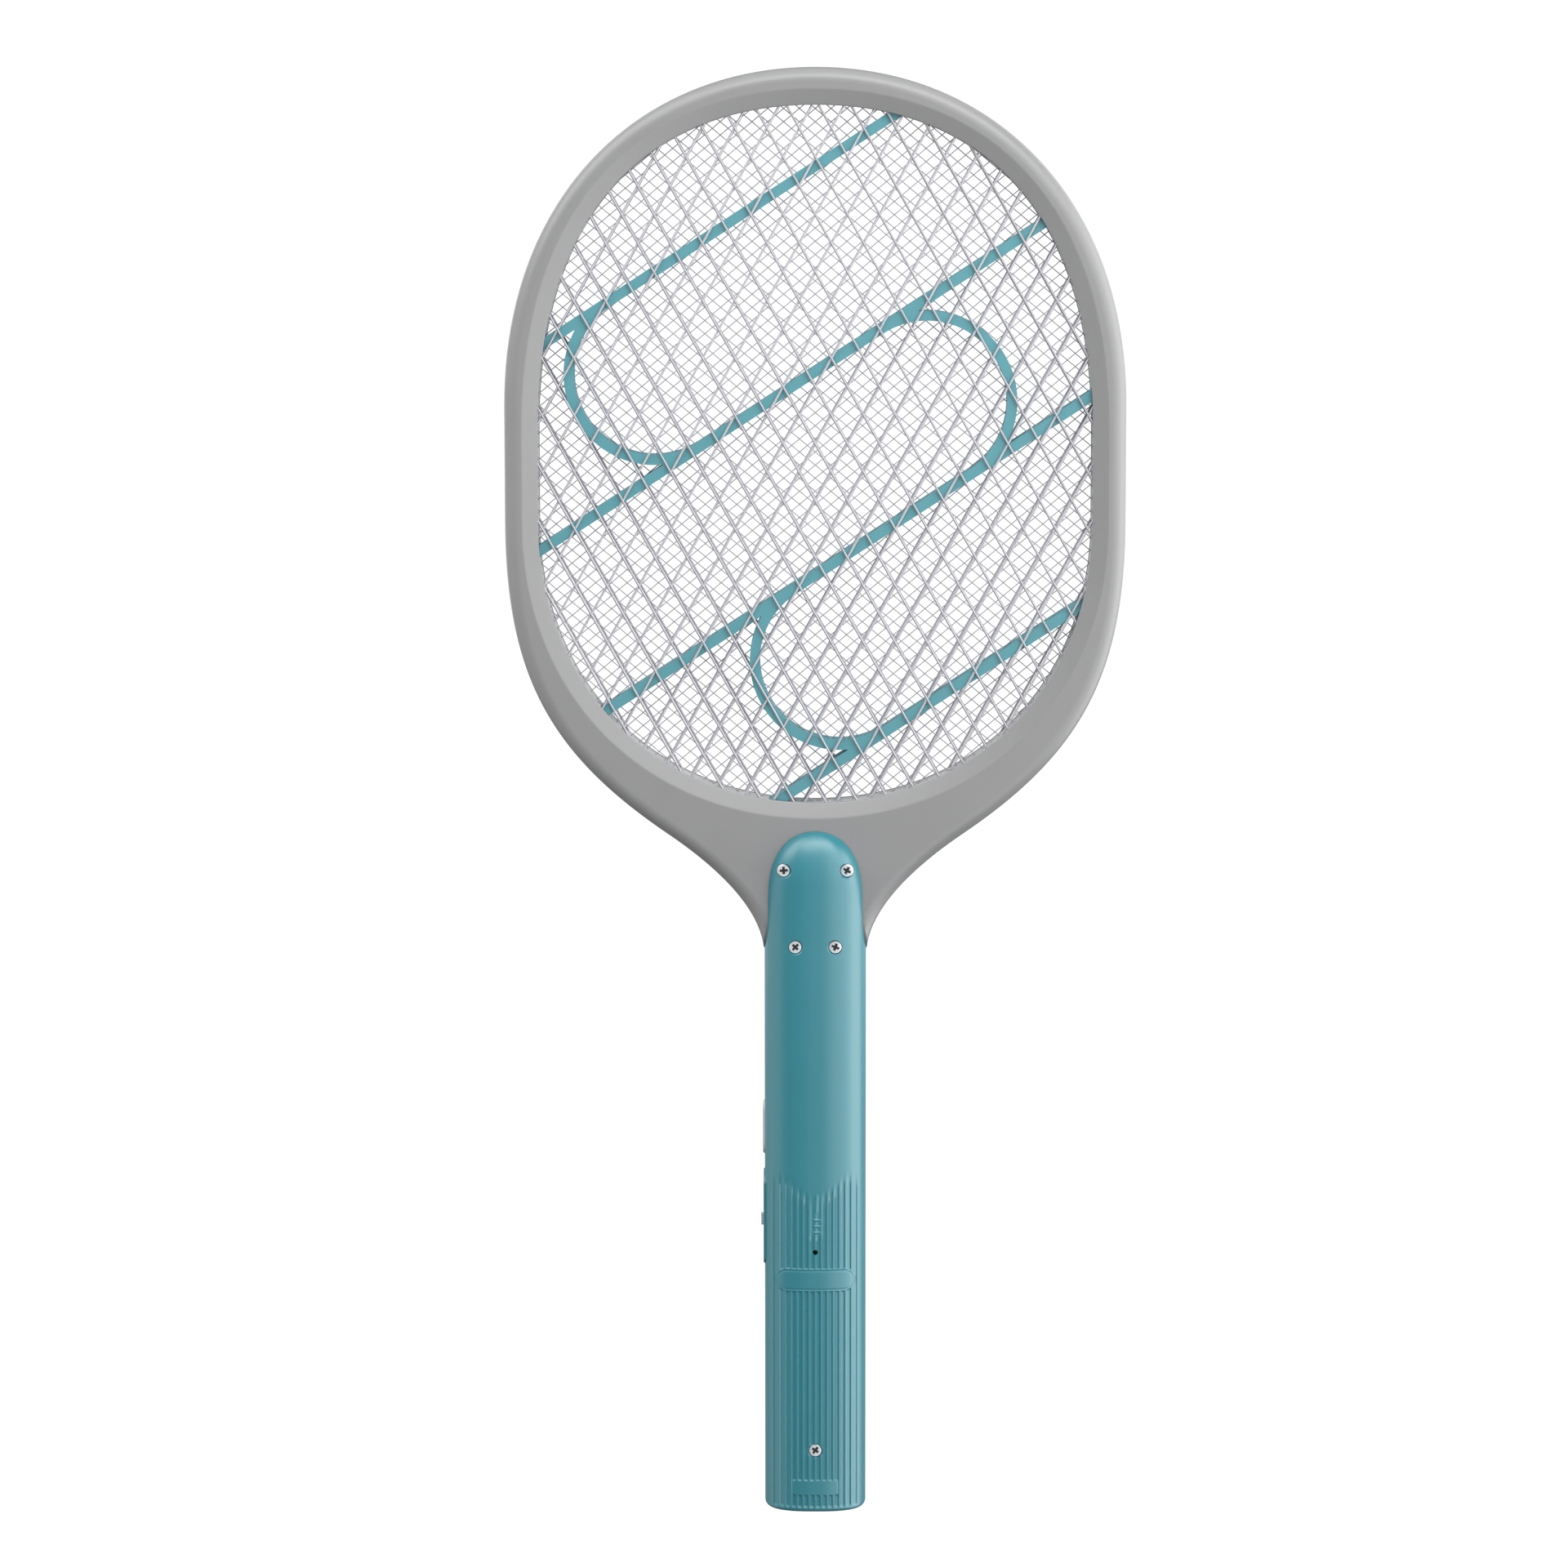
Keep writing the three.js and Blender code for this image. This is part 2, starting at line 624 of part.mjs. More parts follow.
// The half ring that joins two neighbouring runs, open towards +along or -along.
function ribTurn(index, width, low, high) {
  const across = (RUN_OFFSETS[index] + RUN_OFFSETS[index + 1]) / 2;
  const bulgesLeft = index % 2 === 0;
  const back = bulgesLeft ? RIB_PITCH / 2 : -RIB_PITCH / 2;
  const [x, z] = alongRuns(RIB_TIPS[index] * OPENING_HALF_WIDTH + back, across);
  const outer = RIB_PITCH / 2 + width / 2;
  const inner = RIB_PITCH / 2 - width / 2;
  const start = RIB_ANGLE + (bulgesLeft ? Math.PI / 2 : -Math.PI / 2);
  const shape = new THREE.Shape();
  shape.absarc(x, z, outer, start, start + Math.PI, false);
  shape.absarc(x, z, inner, start + Math.PI, start, true);
  return plate(shape, low, high, 18);
}

function depthRange(side, near, far) {
  return side === REAR ? [-far, -near] : [near, far];
}

// All the runs and turns at one width, wider than the opening.
function serpentine(width, low, high) {
  const runs = RUN_OFFSETS.map((across) => ribRun(across, width, low, high));
  const turns = RIB_TIPS.map((_, index) => ribTurn(index, width, low, high));
  return joined([...runs, ...turns]);
}

function ribs(side) {
  const [low, high] = depthRange(side, CARRIER_BOTTOM_Y, CARRIER_TOP_Y);
  return serpentine(RIB_WIDTH, low, high).intersect(openingSlab(RIB_POCKET, low - 1, high + 1));
}

function carrier(side) {
  const near = side * CARRIER_BOTTOM_Y;
  const far = side * CARRIER_TOP_Y;
  const band = ring([
    atDepth(openingGrown(CARRIER_INNER), near),
    atDepth(openingGrown(CARRIER_OUTER), near),
    atDepth(openingGrown(CARRIER_OUTER), far),
    atDepth(openingGrown(CARRIER_INNER), far),
  ]);
  const [low, high] = depthRange(side, CARRIER_BOTTOM_Y - 1, CARRIER_TOP_Y + 1);
  const grown = serpentine(RIB_WIDTH + 2 * CLEARANCE, low, high);
  return band.subtract(grown.intersect(openingSlab(RIB_POCKET + CLEARANCE, low, high)));
}

// ---------- nets ----------

// Straight wires in two directions through a lattice of diamonds, cut to the opening,
// with a thin strip along the edge that all the wires end in.
function net(cellWidth, cellHeight, wire, middleY) {
  const low = middleY - wire / 2;
  const high = middleY + wire / 2;
  const slope = Math.atan2(cellHeight, cellWidth);
  const length = 2 * (HEAD_TOP_Z - OPENING_BOTTOM_Z);
  const reach = Math.ceil((OPENING_HALF_WIDTH + length / 2 / Math.tan(slope)) / cellWidth);
  const wires = [];
  for (const direction of [1, -1]) {
    for (let i = -reach; i <= reach; i++) {
      const geometry = new THREE.BoxGeometry(length, high - low, wire);
      geometry.rotateY(-direction * slope);
      geometry.translate(i * cellWidth, middleY, NET_MIDDLE_Z);
      wires.push(solidOf(geometry));
    }
  }
  const hole = openingSlab(NET_EDGE - NET_SELVEDGE, low - 1, high + 1);
  const selvedge = openingSlab(NET_EDGE, low, high).subtract(hole);
  return joined(wires).intersect(openingSlab(NET_EDGE, low - 1, high + 1)).add(selvedge);
}

function outerNet(side) {
  const skip = OUTER_CELLS_SKIPPED;
  const y = side * OUTER_NET_Y;
  return net(OUTER_CELL_WIDTH * skip, OUTER_CELL_HEIGHT * skip, OUTER_WIRE, y);
}

function innerNet() {
  const skip = INNER_CELLS_SKIPPED;
  return net(INNER_CELL_WIDTH * skip, INNER_CELL_HEIGHT * skip, INNER_WIRE, 0);
}

// ---------- controls ----------

const SURFACE_X = -HANDLE_HALF_WIDTH;
const PLATE_FLANGE_X = WALL_INNER_X + CLEARANCE + 0.4; // front of the flange behind the wall
const FLANGE = 0.9;

function switchPlate() {
  const face = new THREE.Shape();
  const half = PLATE_HALF_DEPTH;
  const corner = 2.5;
  const taper = 5;
  face.moveTo(-half, PLATE_BOTTOM_Z + corner);
  face.quadraticCurveTo(-half, PLATE_BOTTOM_Z, -half + corner, PLATE_BOTTOM_Z);
  face.lineTo(half - corner, PLATE_BOTTOM_Z);
  face.quadraticCurveTo(half, PLATE_BOTTOM_Z, half, PLATE_BOTTOM_Z + corner);
  face.lineTo(half, PLATE_TOP_Z - taper);
  face.quadraticCurveTo(half, PLATE_TOP_Z, 0, PLATE_TOP_Z);
  face.quadraticCurveTo(-half, PLATE_TOP_Z, -half, PLATE_TOP_Z - taper);
  const front = sidePlate(face, SURFACE_X - PLATE_PROUD, PLATE_FLANGE_X + 0.1, 5);
  const flange = box(
    [PLATE_FLANGE_X, -half + 1, PLATE_BOTTOM_Z - 1.2],
    [PLATE_FLANGE_X + FLANGE, half - 1, PLATE_TOP_Z + 1.2],
  );
  const port = stadium(PORT_Z, PORT_HEIGHT + 2 * CLEARANCE, PORT_DEPTH / 2 + CLEARANCE);
  const slotLow = KNOB_Z - KNOB_LENGTH / 2 - CLEARANCE;
  const slotHigh = KNOB_Z + KNOB_LENGTH / 2 + KNOB_TRAVEL + CLEARANCE;
  const slotHalf = KNOB_HALF_DEPTH + CLEARANCE;
  const slot = box([SURFACE_X - 5, -slotHalf, slotLow], [-10, slotHalf, slotHigh]);
  return cutFrom(front.add(flange), [sidePlate(port, SURFACE_X - 5, -10, 6), slot]);
}

const KNOB_FOOT_X = PLATE_FLANGE_X + FLANGE + CLEARANCE;
const KNOB_FOOT = 0.8;

function slideKnob() {
  const half = KNOB_LENGTH / 2;
  const deep = KNOB_HALF_DEPTH;
  const tip = SURFACE_X - KNOB_PROUD;
  const stem = box([tip, -deep, KNOB_Z - half], [KNOB_FOOT_X + 0.2, deep, KNOB_Z + half]);
  const foot = box(
    [KNOB_FOOT_X, -deep - 1, KNOB_Z - half - 0.6],
    [KNOB_FOOT_X + KNOB_FOOT, deep + 1, KNOB_Z + half + 0.6],
  );
  return stem.add(foot);
}

const SWITCH_FRONT_X = KNOB_FOOT_X + KNOB_FOOT + 2.2;

// The slider that the knob carries along inside the switch.
function slideActuator() {
  const front = KNOB_FOOT_X + KNOB_FOOT + CLEARANCE;
  return box([front, -0.9, KNOB_Z - 1], [SWITCH_FRONT_X + 0.8, 0.9, KNOB_Z + 1]);
}

function slideSwitchBody() {
  const room = CLEARANCE;
  const low = KNOB_Z - 3;
  const high = KNOB_Z + KNOB_TRAVEL + 3;
  const back = SWITCH_FRONT_X + 3.6;
  const body = box([SWITCH_FRONT_X, BOARD_FACE_Y + room, low], [back, 1.9, high]);
  const slot = box(
    [SWITCH_FRONT_X - 1, -0.9 - room, KNOB_Z - 1 - room],
    [SWITCH_FRONT_X + 0.8 + room, 0.9 + room, KNOB_Z + 1 + KNOB_TRAVEL + room],
  );
  return body.subtract(slot);
}

const FIRE_FLANGE_X = WALL_INNER_X + 0.8;
const PLUNGER_X = FIRE_FLANGE_X + FLANGE + CLEARANCE;
const TACT_FRONT_X = PLUNGER_X + FIRE_TRAVEL + 0.5;

function fireButton() {
  const cap = stadium(FIRE_Z, FIRE_LENGTH, FIRE_HALF_DEPTH);
  const flange = stadium(FIRE_Z, FIRE_LENGTH + 1.6, FIRE_HALF_DEPTH + 0.8);
  const front = sidePlate(cap, SURFACE_X - FIRE_PROUD, FIRE_FLANGE_X + 0.1, 8);
  return front.add(sidePlate(flange, FIRE_FLANGE_X, FIRE_FLANGE_X + FLANGE, 8));
}

function tactPlunger() {
  return rod(1.5, [PLUNGER_X, 0, FIRE_Z], [TACT_FRONT_X + 1, 0, FIRE_Z], 16);
}

function tactSwitchBody() {
  const back = TACT_FRONT_X + 3.4;
  const body = box([TACT_FRONT_X, BOARD_FACE_Y + CLEARANCE, FIRE_Z - 3], [back, 3, FIRE_Z + 3]);
  const deep = TACT_FRONT_X + 1 + FIRE_TRAVEL + CLEARANCE;
  const bore = rod(1.5 + CLEARANCE, [TACT_FRONT_X - 1, 0, FIRE_Z], [deep, 0, FIRE_Z], 16);
  return body.subtract(bore);
}

// Charging inlet: a folded steel sleeve with its contact tongue, open towards -X.
function chargingPort() {
  const mouth = SURFACE_X + 0.4;
  const length = 7.2;
  const outside = stadium(PORT_Z, PORT_HEIGHT, PORT_DEPTH / 2);
  const inside = stadium(PORT_Z, PORT_HEIGHT - 0.6, PORT_DEPTH / 2 - 0.3);
  const sleeve = sidePlate(outside, mouth, mouth + length, 6);
  const cavity = sidePlate(inside, mouth - 1, mouth + length - 1.2, 6);
  const tongue = box([mouth + 0.8, -0.35, PORT_Z - 3.3], [mouth + length - 1, 0.35, PORT_Z + 3.3]);
  return sleeve.subtract(cavity).add(tongue);
}

// ---------- screws ----------

function screw(x, z) {
  const seat = screwSeat(x, z) - CLEARANCE / 3;
  const top = seat + SCREW_HEAD_HEIGHT;
  const head = [
    [0, top],
    [SCREW_HEAD_RADIUS * 0.55, top],
    [SCREW_HEAD_RADIUS * 0.9, top - 0.35],
    [SCREW_HEAD_RADIUS, top - 0.9],
    [SCREW_HEAD_RADIUS, seat + CLEARANCE],
    [SCREW_SHANK_RADIUS, seat + CLEARANCE],
    [SCREW_SHANK_RADIUS, 1 - seat],
    [SCREW_SHANK_RADIUS * 0.3, -seat],
    [0, -seat],
  ];
  const profile = head.reverse().map(([radius, y]) => new THREE.Vector2(radius, y));
  const body = new THREE.LatheGeometry(profile, 12);
  body.rotateX(Math.PI);
  body.translate(x, 0, z);
  const blades = [
    [1.2, 0.32],
    [0.32, 1.2],
  ];
  const recess = blades.map(([wide, tall]) =>
    box([x - wide, -top - 1, z - tall], [x + wide, -top + 1.1, z + tall]),
  );
  return cutFrom(solidOf(body), recess);
}

// ---------- works inside the handle ----------

function circuitBoard() {
  const board = box(
    [-BOARD_HALF_WIDTH, BOARD_Y, BOARD_BOTTOM_Z],
    [BOARD_HALF_WIDTH, BOARD_FACE_Y, BOARD_TOP_Z],
  );
  const far = 2 * HANDLE_HALF_DEPTH;
  const holes = BOARD_SCREWS.map(([, x, z]) => rod(1.4, [x, -far, z], [x, far, z], 16));
  return cutFrom(board, holes);
}

// A small screw that holds the board to its post in the front shell.
function boardScrew(x, z) {
  const headLow = BOARD_Y - CLEARANCE;
  const head = rod(2, [x, headLow - 1.3, z], [x, headLow, z], 16);
  return head.add(rod(1, [x, headLow - 0.1, z], [x, headLow + 8, z], 12));
}

// Posts of the front shell that carry the board.
function boardPosts(outside) {
  return BOARD_SCREWS.map(([, x, z]) => {
    const foot = [x, BOARD_FACE_Y + CLEARANCE, z];
    const post = rod(POST_RADIUS, foot, [x, HANDLE_HALF_DEPTH, z], 16);
    const hole = rod(1 + CLEARANCE, [x, -5, z], [x, BOARD_Y + 9, z], 12);
    return post.intersect(outside).subtract(hole);
  });
}

function cell() {
  const top = CELL_BOTTOM_Z + CELL_LENGTH;
  const can = rod(CELL_RADIUS, [0, 0, CELL_BOTTOM_Z], [0, 0, top - 1], 28);
  return can.add(rod(2.6, [0, 0, top - 1.2], [0, 0, top], 20));
}

// A nickel strip across one end of the cell, with a short leg down its side.
function cellTab(isTop) {
  const end = isTop ? CELL_BOTTOM_Z + CELL_LENGTH + CLEARANCE : CELL_BOTTOM_Z - CLEARANCE;
  const beyond = isTop ? 0.4 : -0.4;
  const low = Math.min(end, end + beyond);
  const legX = CELL_RADIUS + CLEARANCE;
  const leg = isTop ? [low - 5, low + 0.4] : [low, low + 5];
  const strap = box([-3, -2.5, low], [legX + 0.4, 2.5, low + 0.4]);
  return strap.add(box([legX, -2.5, leg[0]], [legX + 0.4, 2.5, leg[1]]));
}

function indicatorPipe() {
  const face = -HANDLE_HALF_DEPTH + 0.15;
  const inner = -(HANDLE_HALF_DEPTH - HANDLE_WALL - CLEARANCE);
  const pin = rod(INDICATOR_RADIUS, [0, face, PORT_Z], [0, inner + 0.1, PORT_Z], 16);
  return pin.add(rod(1.6, [0, inner, PORT_Z], [0, BOARD_Y - 2.8, PORT_Z], 16));
}

function indicatorLed() {
  return box([-1.75, BOARD_Y - 2.3, PORT_Z - 1.4], [1.75, BOARD_Y - CLEARANCE, PORT_Z + 1.4]);
}

// Height above the board's lower end, as a share of the board's length.
function boardHeight(share) {
  return BOARD_BOTTOM_Z + share * BOARD_LENGTH;
}

const TRANSFORMER_Z = boardHeight(0.6875);

// Ferrite core: two E halves seen as one block with the winding's window cut through.
function transformerCore() {
  const low = BOARD_FACE_Y + CLEARANCE;
  const core = box([-7, low + 1, TRANSFORMER_Z - 8], [8, low + 11, TRANSFORMER_Z + 8]);
  const window = box([-4.6, low - 1, TRANSFORMER_Z - 5.6], [5.6, low + 13, TRANSFORMER_Z + 5.6]);
  const leg = box([-1.5, low + 3, TRANSFORMER_Z - 6], [2.5, low + 9, TRANSFORMER_Z + 6]);
  return core.subtract(window).add(leg);
}

function transformerWinding() {
  const low = BOARD_FACE_Y + CLEARANCE;
  const room = CLEARANCE;
  const coil = box([-4.2, low + 0.2, TRANSFORMER_Z - 5.2], [5.2, low + 11.8, TRANSFORMER_Z + 5.2]);
  const bore = box(
    [-1.5 - room, low + 3 - room, TRANSFORMER_Z - 7],
    [2.5 + room, low + 9 + room, TRANSFORMER_Z + 7],
  );
  return coil.subtract(bore);
}

// A film capacitor standing on the board: a box with rounded long edges.
function filmCapacitor(x, z, width, height) {
  const low = BOARD_FACE_Y + CLEARANCE;
  const shape = new THREE.Shape();
  const r = 1.6;
  shape.absarc(x + width / 2 - r, z + height / 2 - r, r, 0, Math.PI / 2);
  shape.absarc(x - width / 2 + r, z + height / 2 - r, r, Math.PI / 2, Math.PI);
  shape.absarc(x - width / 2 + r, z - height / 2 + r, r, Math.PI, 1.5 * Math.PI);
  shape.absarc(x + width / 2 - r, z - height / 2 + r, r, 1.5 * Math.PI, 2 * Math.PI);
  return plate(shape, low, low + 10, 3);
}

// An axial component lying on the board, body and wires in one.
function axialPart(x, z, radius, length) {
  const y = BOARD_FACE_Y + CLEARANCE + radius;
  const body = rod(radius, [x, y, z - length / 2], [x, y, z + length / 2], 14);
  return body.add(rod(0.35, [x, y, z - length / 2 - 3], [x, y, z + length / 2 + 3], 8));
}

const NECK_LEADS = [
  ["rear", -LEAD_PITCH, -OUTER_NET_Y],
  ["inner", 0, 0],
  ["front", LEAD_PITCH, OUTER_NET_Y],
];
const CONTACT_LOW_Z = OPENING_BOTTOM_Z - 17.4;

// A brass tab in the plane of its net, up to the net's edge.
function netContact(x, y) {
  const half = y === 0 ? INNER_WIRE / 2 : OUTER_WIRE / 2;
  const top = OPENING_BOTTOM_Z - NET_EDGE - CLEARANCE;
  return box([x - 1.1, y - half, CONTACT_LOW_Z], [x + 1.1, y + half, top]);
}

// A high-voltage lead from the board's top to its contact.
function neckLead(x, y) {
  const half = y === 0 ? INNER_WIRE / 2 : OUTER_WIRE / 2;
  const beside = LEAD_RADIUS + CLEARANCE + half;
  const endY = y === 0 ? y - beside : y - Math.sign(y) * beside;
  const startY = BOARD_FACE_Y + CLEARANCE + LEAD_RADIUS;
  return lead([
    [x, startY, BOARD_TOP_Z - 2],
    [x, startY, BOARD_TOP_Z + 2],
    [x, (startY + endY) / 2, SHOULDER_Z + 1],
    [x, endY, CONTACT_LOW_Z],
    [x, endY, CONTACT_LOW_Z + 6],
  ]);
}

// A battery lead from beside a cell tab's leg to the board.
function cellLead(isPositive) {
  const y = BOARD_FACE_Y + CLEARANCE + LEAD_RADIUS;
  const x = CELL_RADIUS + CLEARANCE + 0.4 + CLEARANCE + LEAD_RADIUS;
  const low = isPositive ? CELL_BOTTOM_Z + CELL_LENGTH - 4 : CELL_BOTTOM_Z + 1;
  const side = isPositive ? 1.2 : -1.2;
  const passing = isPositive ? 2.2 : -4.2;
  const turnZ = BOARD_BOTTOM_Z - (isPositive ? 3 : 5);
  const besidePost = POST_X - POST_RADIUS - CLEARANCE - LEAD_RADIUS;
  const endX = isPositive ? besidePost : besidePost - 3.6;
  return lead([
    [x, side, low],
    [x, side, low + 3],
    [x, passing, turnZ],
    [endX, y + 1.5, BOARD_BOTTOM_Z + 1],
    [endX, y, BOARD_BOTTOM_Z + 5],
  ]);
}

// ---------- assembly ----------

const MATERIALS = {
  teal: { color: 0x549aa8, roughness: 0.42, metalness: 0 },
  grey: { color: 0xa2a3a5, roughness: 0.45, metalness: 0 },
  paleGrey: { color: 0xd4d6d8, roughness: 0.4, metalness: 0 },
  wire: { color: 0xb4b6ba, roughness: 0.35, metalness: 0.9 },
  steel: { color: 0xd0d2d6, roughness: 0.25, metalness: 1 },
  brass: { color: 0xc9a75a, roughness: 0.35, metalness: 1 },
  board: { color: 0x2f6b3f, roughness: 0.5, metalness: 0 },
  black: { color: 0x26272a, roughness: 0.5, metalness: 0 },
  ferrite: { color: 0x3a3b3e, roughness: 0.7, metalness: 0 },
  tape: { color: 0xd8b53c, roughness: 0.5, metalness: 0 },
  film: { color: 0x9c3a2c, roughness: 0.4, metalness: 0 },
  cellWrap: { color: 0x3f6fb0, roughness: 0.35, metalness: 0 },
  redLead: { color: 0xb5352f, roughness: 0.5, metalness: 0 },
  dark: { color: 0x1d1f22, roughness: 0.2, metalness: 0 },
};

function frontHandleShell() {
  const outside = handleOutside();
  return joined([handleShell(FRONT), ...boardPosts(outside)]);
}

const swatter = new THREE.Group();

function addPiece(name, material, solid) {
  const mesh = new THREE.Mesh(
    geometryOf(solid),
    new THREE.MeshStandardMaterial(MATERIALS[material]),
  );
  mesh.name = name;
  swatter.add(mesh);
}

addPiece("handle_rear_shell", "teal", handleShell(REAR));
addPiece("handle_front_shell", "teal", frontHandleShell());
addPiece("frame_rear", "grey", frameCover(REAR));
addPiece("frame_front", "grey", frameCover(FRONT));
addPiece("net_carrier_rear", "grey", carrier(REAR));
addPiece("net_carrier_front", "grey", carrier(FRONT));
addPiece("rib_insert_rear", "teal", ribs(REAR));
addPiece("rib_insert_front", "teal", ribs(FRONT));
addPiece("net_rear", "wire", outerNet(REAR));
addPiece("net_front", "wire", outerNet(FRONT));
addPiece("net_inner", "wire", innerNet());

addPiece("switch_plate", "teal", switchPlate());
addPiece("slide_knob", "paleGrey", slideKnob());
addPiece("slide_switch_actuator", "black", slideActuator());
addPiece("slide_switch_body", "steel", slideSwitchBody());
addPiece("fire_button", "paleGrey", fireButton());
addPiece("tact_switch_plunger", "black", tactPlunger());
addPiece("tact_switch_body", "steel", tactSwitchBody());
addPiece("charging_port", "steel", chargingPort());

for (const [name, x, z] of SCREW_PLACES) {
  addPiece(name, "steel", screw(x, z));
}

addPiece("circuit_board", "board", circuitBoard());
for (const [name, x, z] of BOARD_SCREWS) {
  addPiece(name, "steel", boardScrew(x, z));
}
addPiece("battery_cell", "cellWrap", cell());
addPiece("battery_tab_positive", "steel", cellTab(true));
addPiece("battery_tab_negative", "steel", cellTab(false));
addPiece("battery_lead_positive", "redLead", cellLead(true));
addPiece("battery_lead_negative", "black", cellLead(false));
addPiece("indicator_light_pipe", "dark", indicatorPipe());
addPiece("indicator_led", "paleGrey", indicatorLed());
addPiece("transformer_core", "ferrite", transformerCore());
addPiece("transformer_winding", "tape", transformerWinding());
addPiece("hv_capacitor_left", "film", filmCapacitor(-3.5, boardHeight(0.865), 8.5, 12));
addPiece("hv_capacitor_right", "film", filmCapacitor(5, boardHeight(0.469), 11, 14));
const AXIAL_ROW_Z = boardHeight(0.2917);
const DIODE_PITCH = BOARD_HALF_WIDTH / 3;
addPiece("hv_diode_left", "black", axialPart(-DIODE_PITCH, AXIAL_ROW_Z, 1.4, 5));
addPiece("hv_diode_middle", "black", axialPart(0, AXIAL_ROW_Z, 1.4, 5));
addPiece("hv_diode_right", "black", axialPart(DIODE_PITCH, AXIAL_ROW_Z, 1.4, 5));
addPiece("bleeder_resistor", "tape", axialPart(2.125 * DIODE_PITCH, AXIAL_ROW_Z, 1.2, 6));
for (const [name, x, y] of NECK_LEADS) {
  addPiece("hv_lead_" + name, "redLead", neckLead(x, y));
  addPiece("net_contact_" + name, "brass", netContact(x, y));
}

export default swatter;
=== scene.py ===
"""Looks for the electric fly swatter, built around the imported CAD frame.

Lengths in this script are millimetres until a mesh is made.
The rear, where the screws are, faces -Y.
"""
import math

import bmesh
import bpy
from mathutils import Matrix, Vector


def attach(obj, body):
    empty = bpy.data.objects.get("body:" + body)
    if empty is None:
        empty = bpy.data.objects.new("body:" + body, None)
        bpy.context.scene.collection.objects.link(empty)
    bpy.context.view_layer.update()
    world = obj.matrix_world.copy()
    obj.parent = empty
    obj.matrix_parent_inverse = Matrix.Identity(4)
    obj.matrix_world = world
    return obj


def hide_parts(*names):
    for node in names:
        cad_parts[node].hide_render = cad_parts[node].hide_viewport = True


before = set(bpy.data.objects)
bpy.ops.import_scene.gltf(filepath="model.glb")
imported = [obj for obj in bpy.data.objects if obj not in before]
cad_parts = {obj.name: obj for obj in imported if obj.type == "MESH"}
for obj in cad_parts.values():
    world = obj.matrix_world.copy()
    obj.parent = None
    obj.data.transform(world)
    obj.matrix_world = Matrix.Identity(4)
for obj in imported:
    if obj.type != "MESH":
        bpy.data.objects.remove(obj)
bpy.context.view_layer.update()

MM = 0.001
REAR = -1
FRONT = 1
CLEARANCE = 0.3
PAST_PART = 40  # how far a cutting solid reaches, well past every side of the handle

# ---------- dimensions shared with the CAD part ----------

HANDLE_HALF_WIDTH = 17.6
HANDLE_HALF_DEPTH = 16.5
HANDLE_SQUARENESS = 2.8
HANDLE_WALL = 2.1
END_FILLET = 1.5
END_WALL = 3
SHOULDER_Z = 209
NECK_FOOT = 12
TONGUE_TOP_Z = 238.8
TONGUE_ARCH = 25.3
TONGUE_SQUARENESS = 2.5
TONGUE_NOSE = 17

HEAD_TOP_Z = 500
HEAD_HALF_WIDTH = 106.5
HEAD_SIDE_TOP_Z = 384.6
HEAD_SIDE_BOTTOM_Z = 345.1
# The curves' handles: how far each one stands from the end of its curve.
HEAD_TOP_PULL = 60.7
HEAD_SHOULDER_PULL = 44.5
HEAD_HIP_PULL = 52.7
NECK_TURN_PULL_UP = 48.9
NECK_TURN_PULL_DOWN = 16
NECK_WAIST_PULL = 17.2
NECK_TURN = Vector((51.1, 237.4))
NECK_TURN_ANGLE = 0.6
NECK_HALF_WIDTH = 17.7
NECK_BOTTOM_Z = 195
INSERT_HALF_WIDTH = 13.4
INSERT_BOTTOM_Z = 186
OPENING_TOP_Z = 487.3
OPENING_BOTTOM_Z = 248.4
OPENING_HALF_WIDTH = 95
OPENING_SIDE_TOP_Z = 376.4
OPENING_SIDE_BOTTOM_Z = 344.5
OPENING_TOP_PULL = 56.4
OPENING_SHOULDER_PULL = 36.4
OPENING_HIP_PULL = 54.9
OPENING_BOTTOM_PULL = 56.2

FRAME_HALF_DEPTH = 9
FRAME_WALL = 2.2
BEVEL_WIDTH = 5.2
LIP_OUTER_Y = 7
LIP_INNER_Y = 6.4
SPLIT_GAP = 0.15
LIP_REACH = 0.1  # the seam's lips reach this far past the middle plane
LIP_INSET = 0.7
LIP_ROOT = 0.2

OUTER_WIRE = 0.8
OUTER_NET_Y = 5.7
OUTER_CELL_WIDTH = 11
OUTER_CELL_HEIGHT = 19.51
INNER_WIRE = 0.35
INNER_CELL_WIDTH = 5.4
INNER_CELL_HEIGHT = 4.5
NET_EDGE = 1.5
NET_ROW_Z = 274.5

CARRIER_TOP_Y = 5
CARRIER_LOOK_TOP_Y = 6.3
CARRIER_BOTTOM_Y = 0.5
CARRIER_INNER = 0.2
CARRIER_OUTER = 9
RIB_WIDTH = 3.5
RIB_PITCH = 58.5
RIB_ANGLE = math.radians(33)
RIB_MIDDLE_Z = 361.8
RIB_TURNS = (-27.7, 45.5, -27.9)
RIB_POCKET = 2.2

PLATE_BOTTOM_Z = 86.1
PLATE_TOP_Z = 119
PLATE_HALF_DEPTH = 6
PLATE_PROUD = 0.45
PORT_Z = 92.4
PORT_HEIGHT = 8.94
PORT_DEPTH = 3.26
KNOB_Z = 101.1
KNOB_LENGTH = 3.9
KNOB_HALF_DEPTH = 1.5
KNOB_PROUD = 1.35
KNOB_TRAVEL = 4
FIRE_Z = 133.85
FIRE_LENGTH = 19.1
FIRE_HALF_DEPTH = 4
FIRE_PROUD = 0.7
FLANGE = 0.9

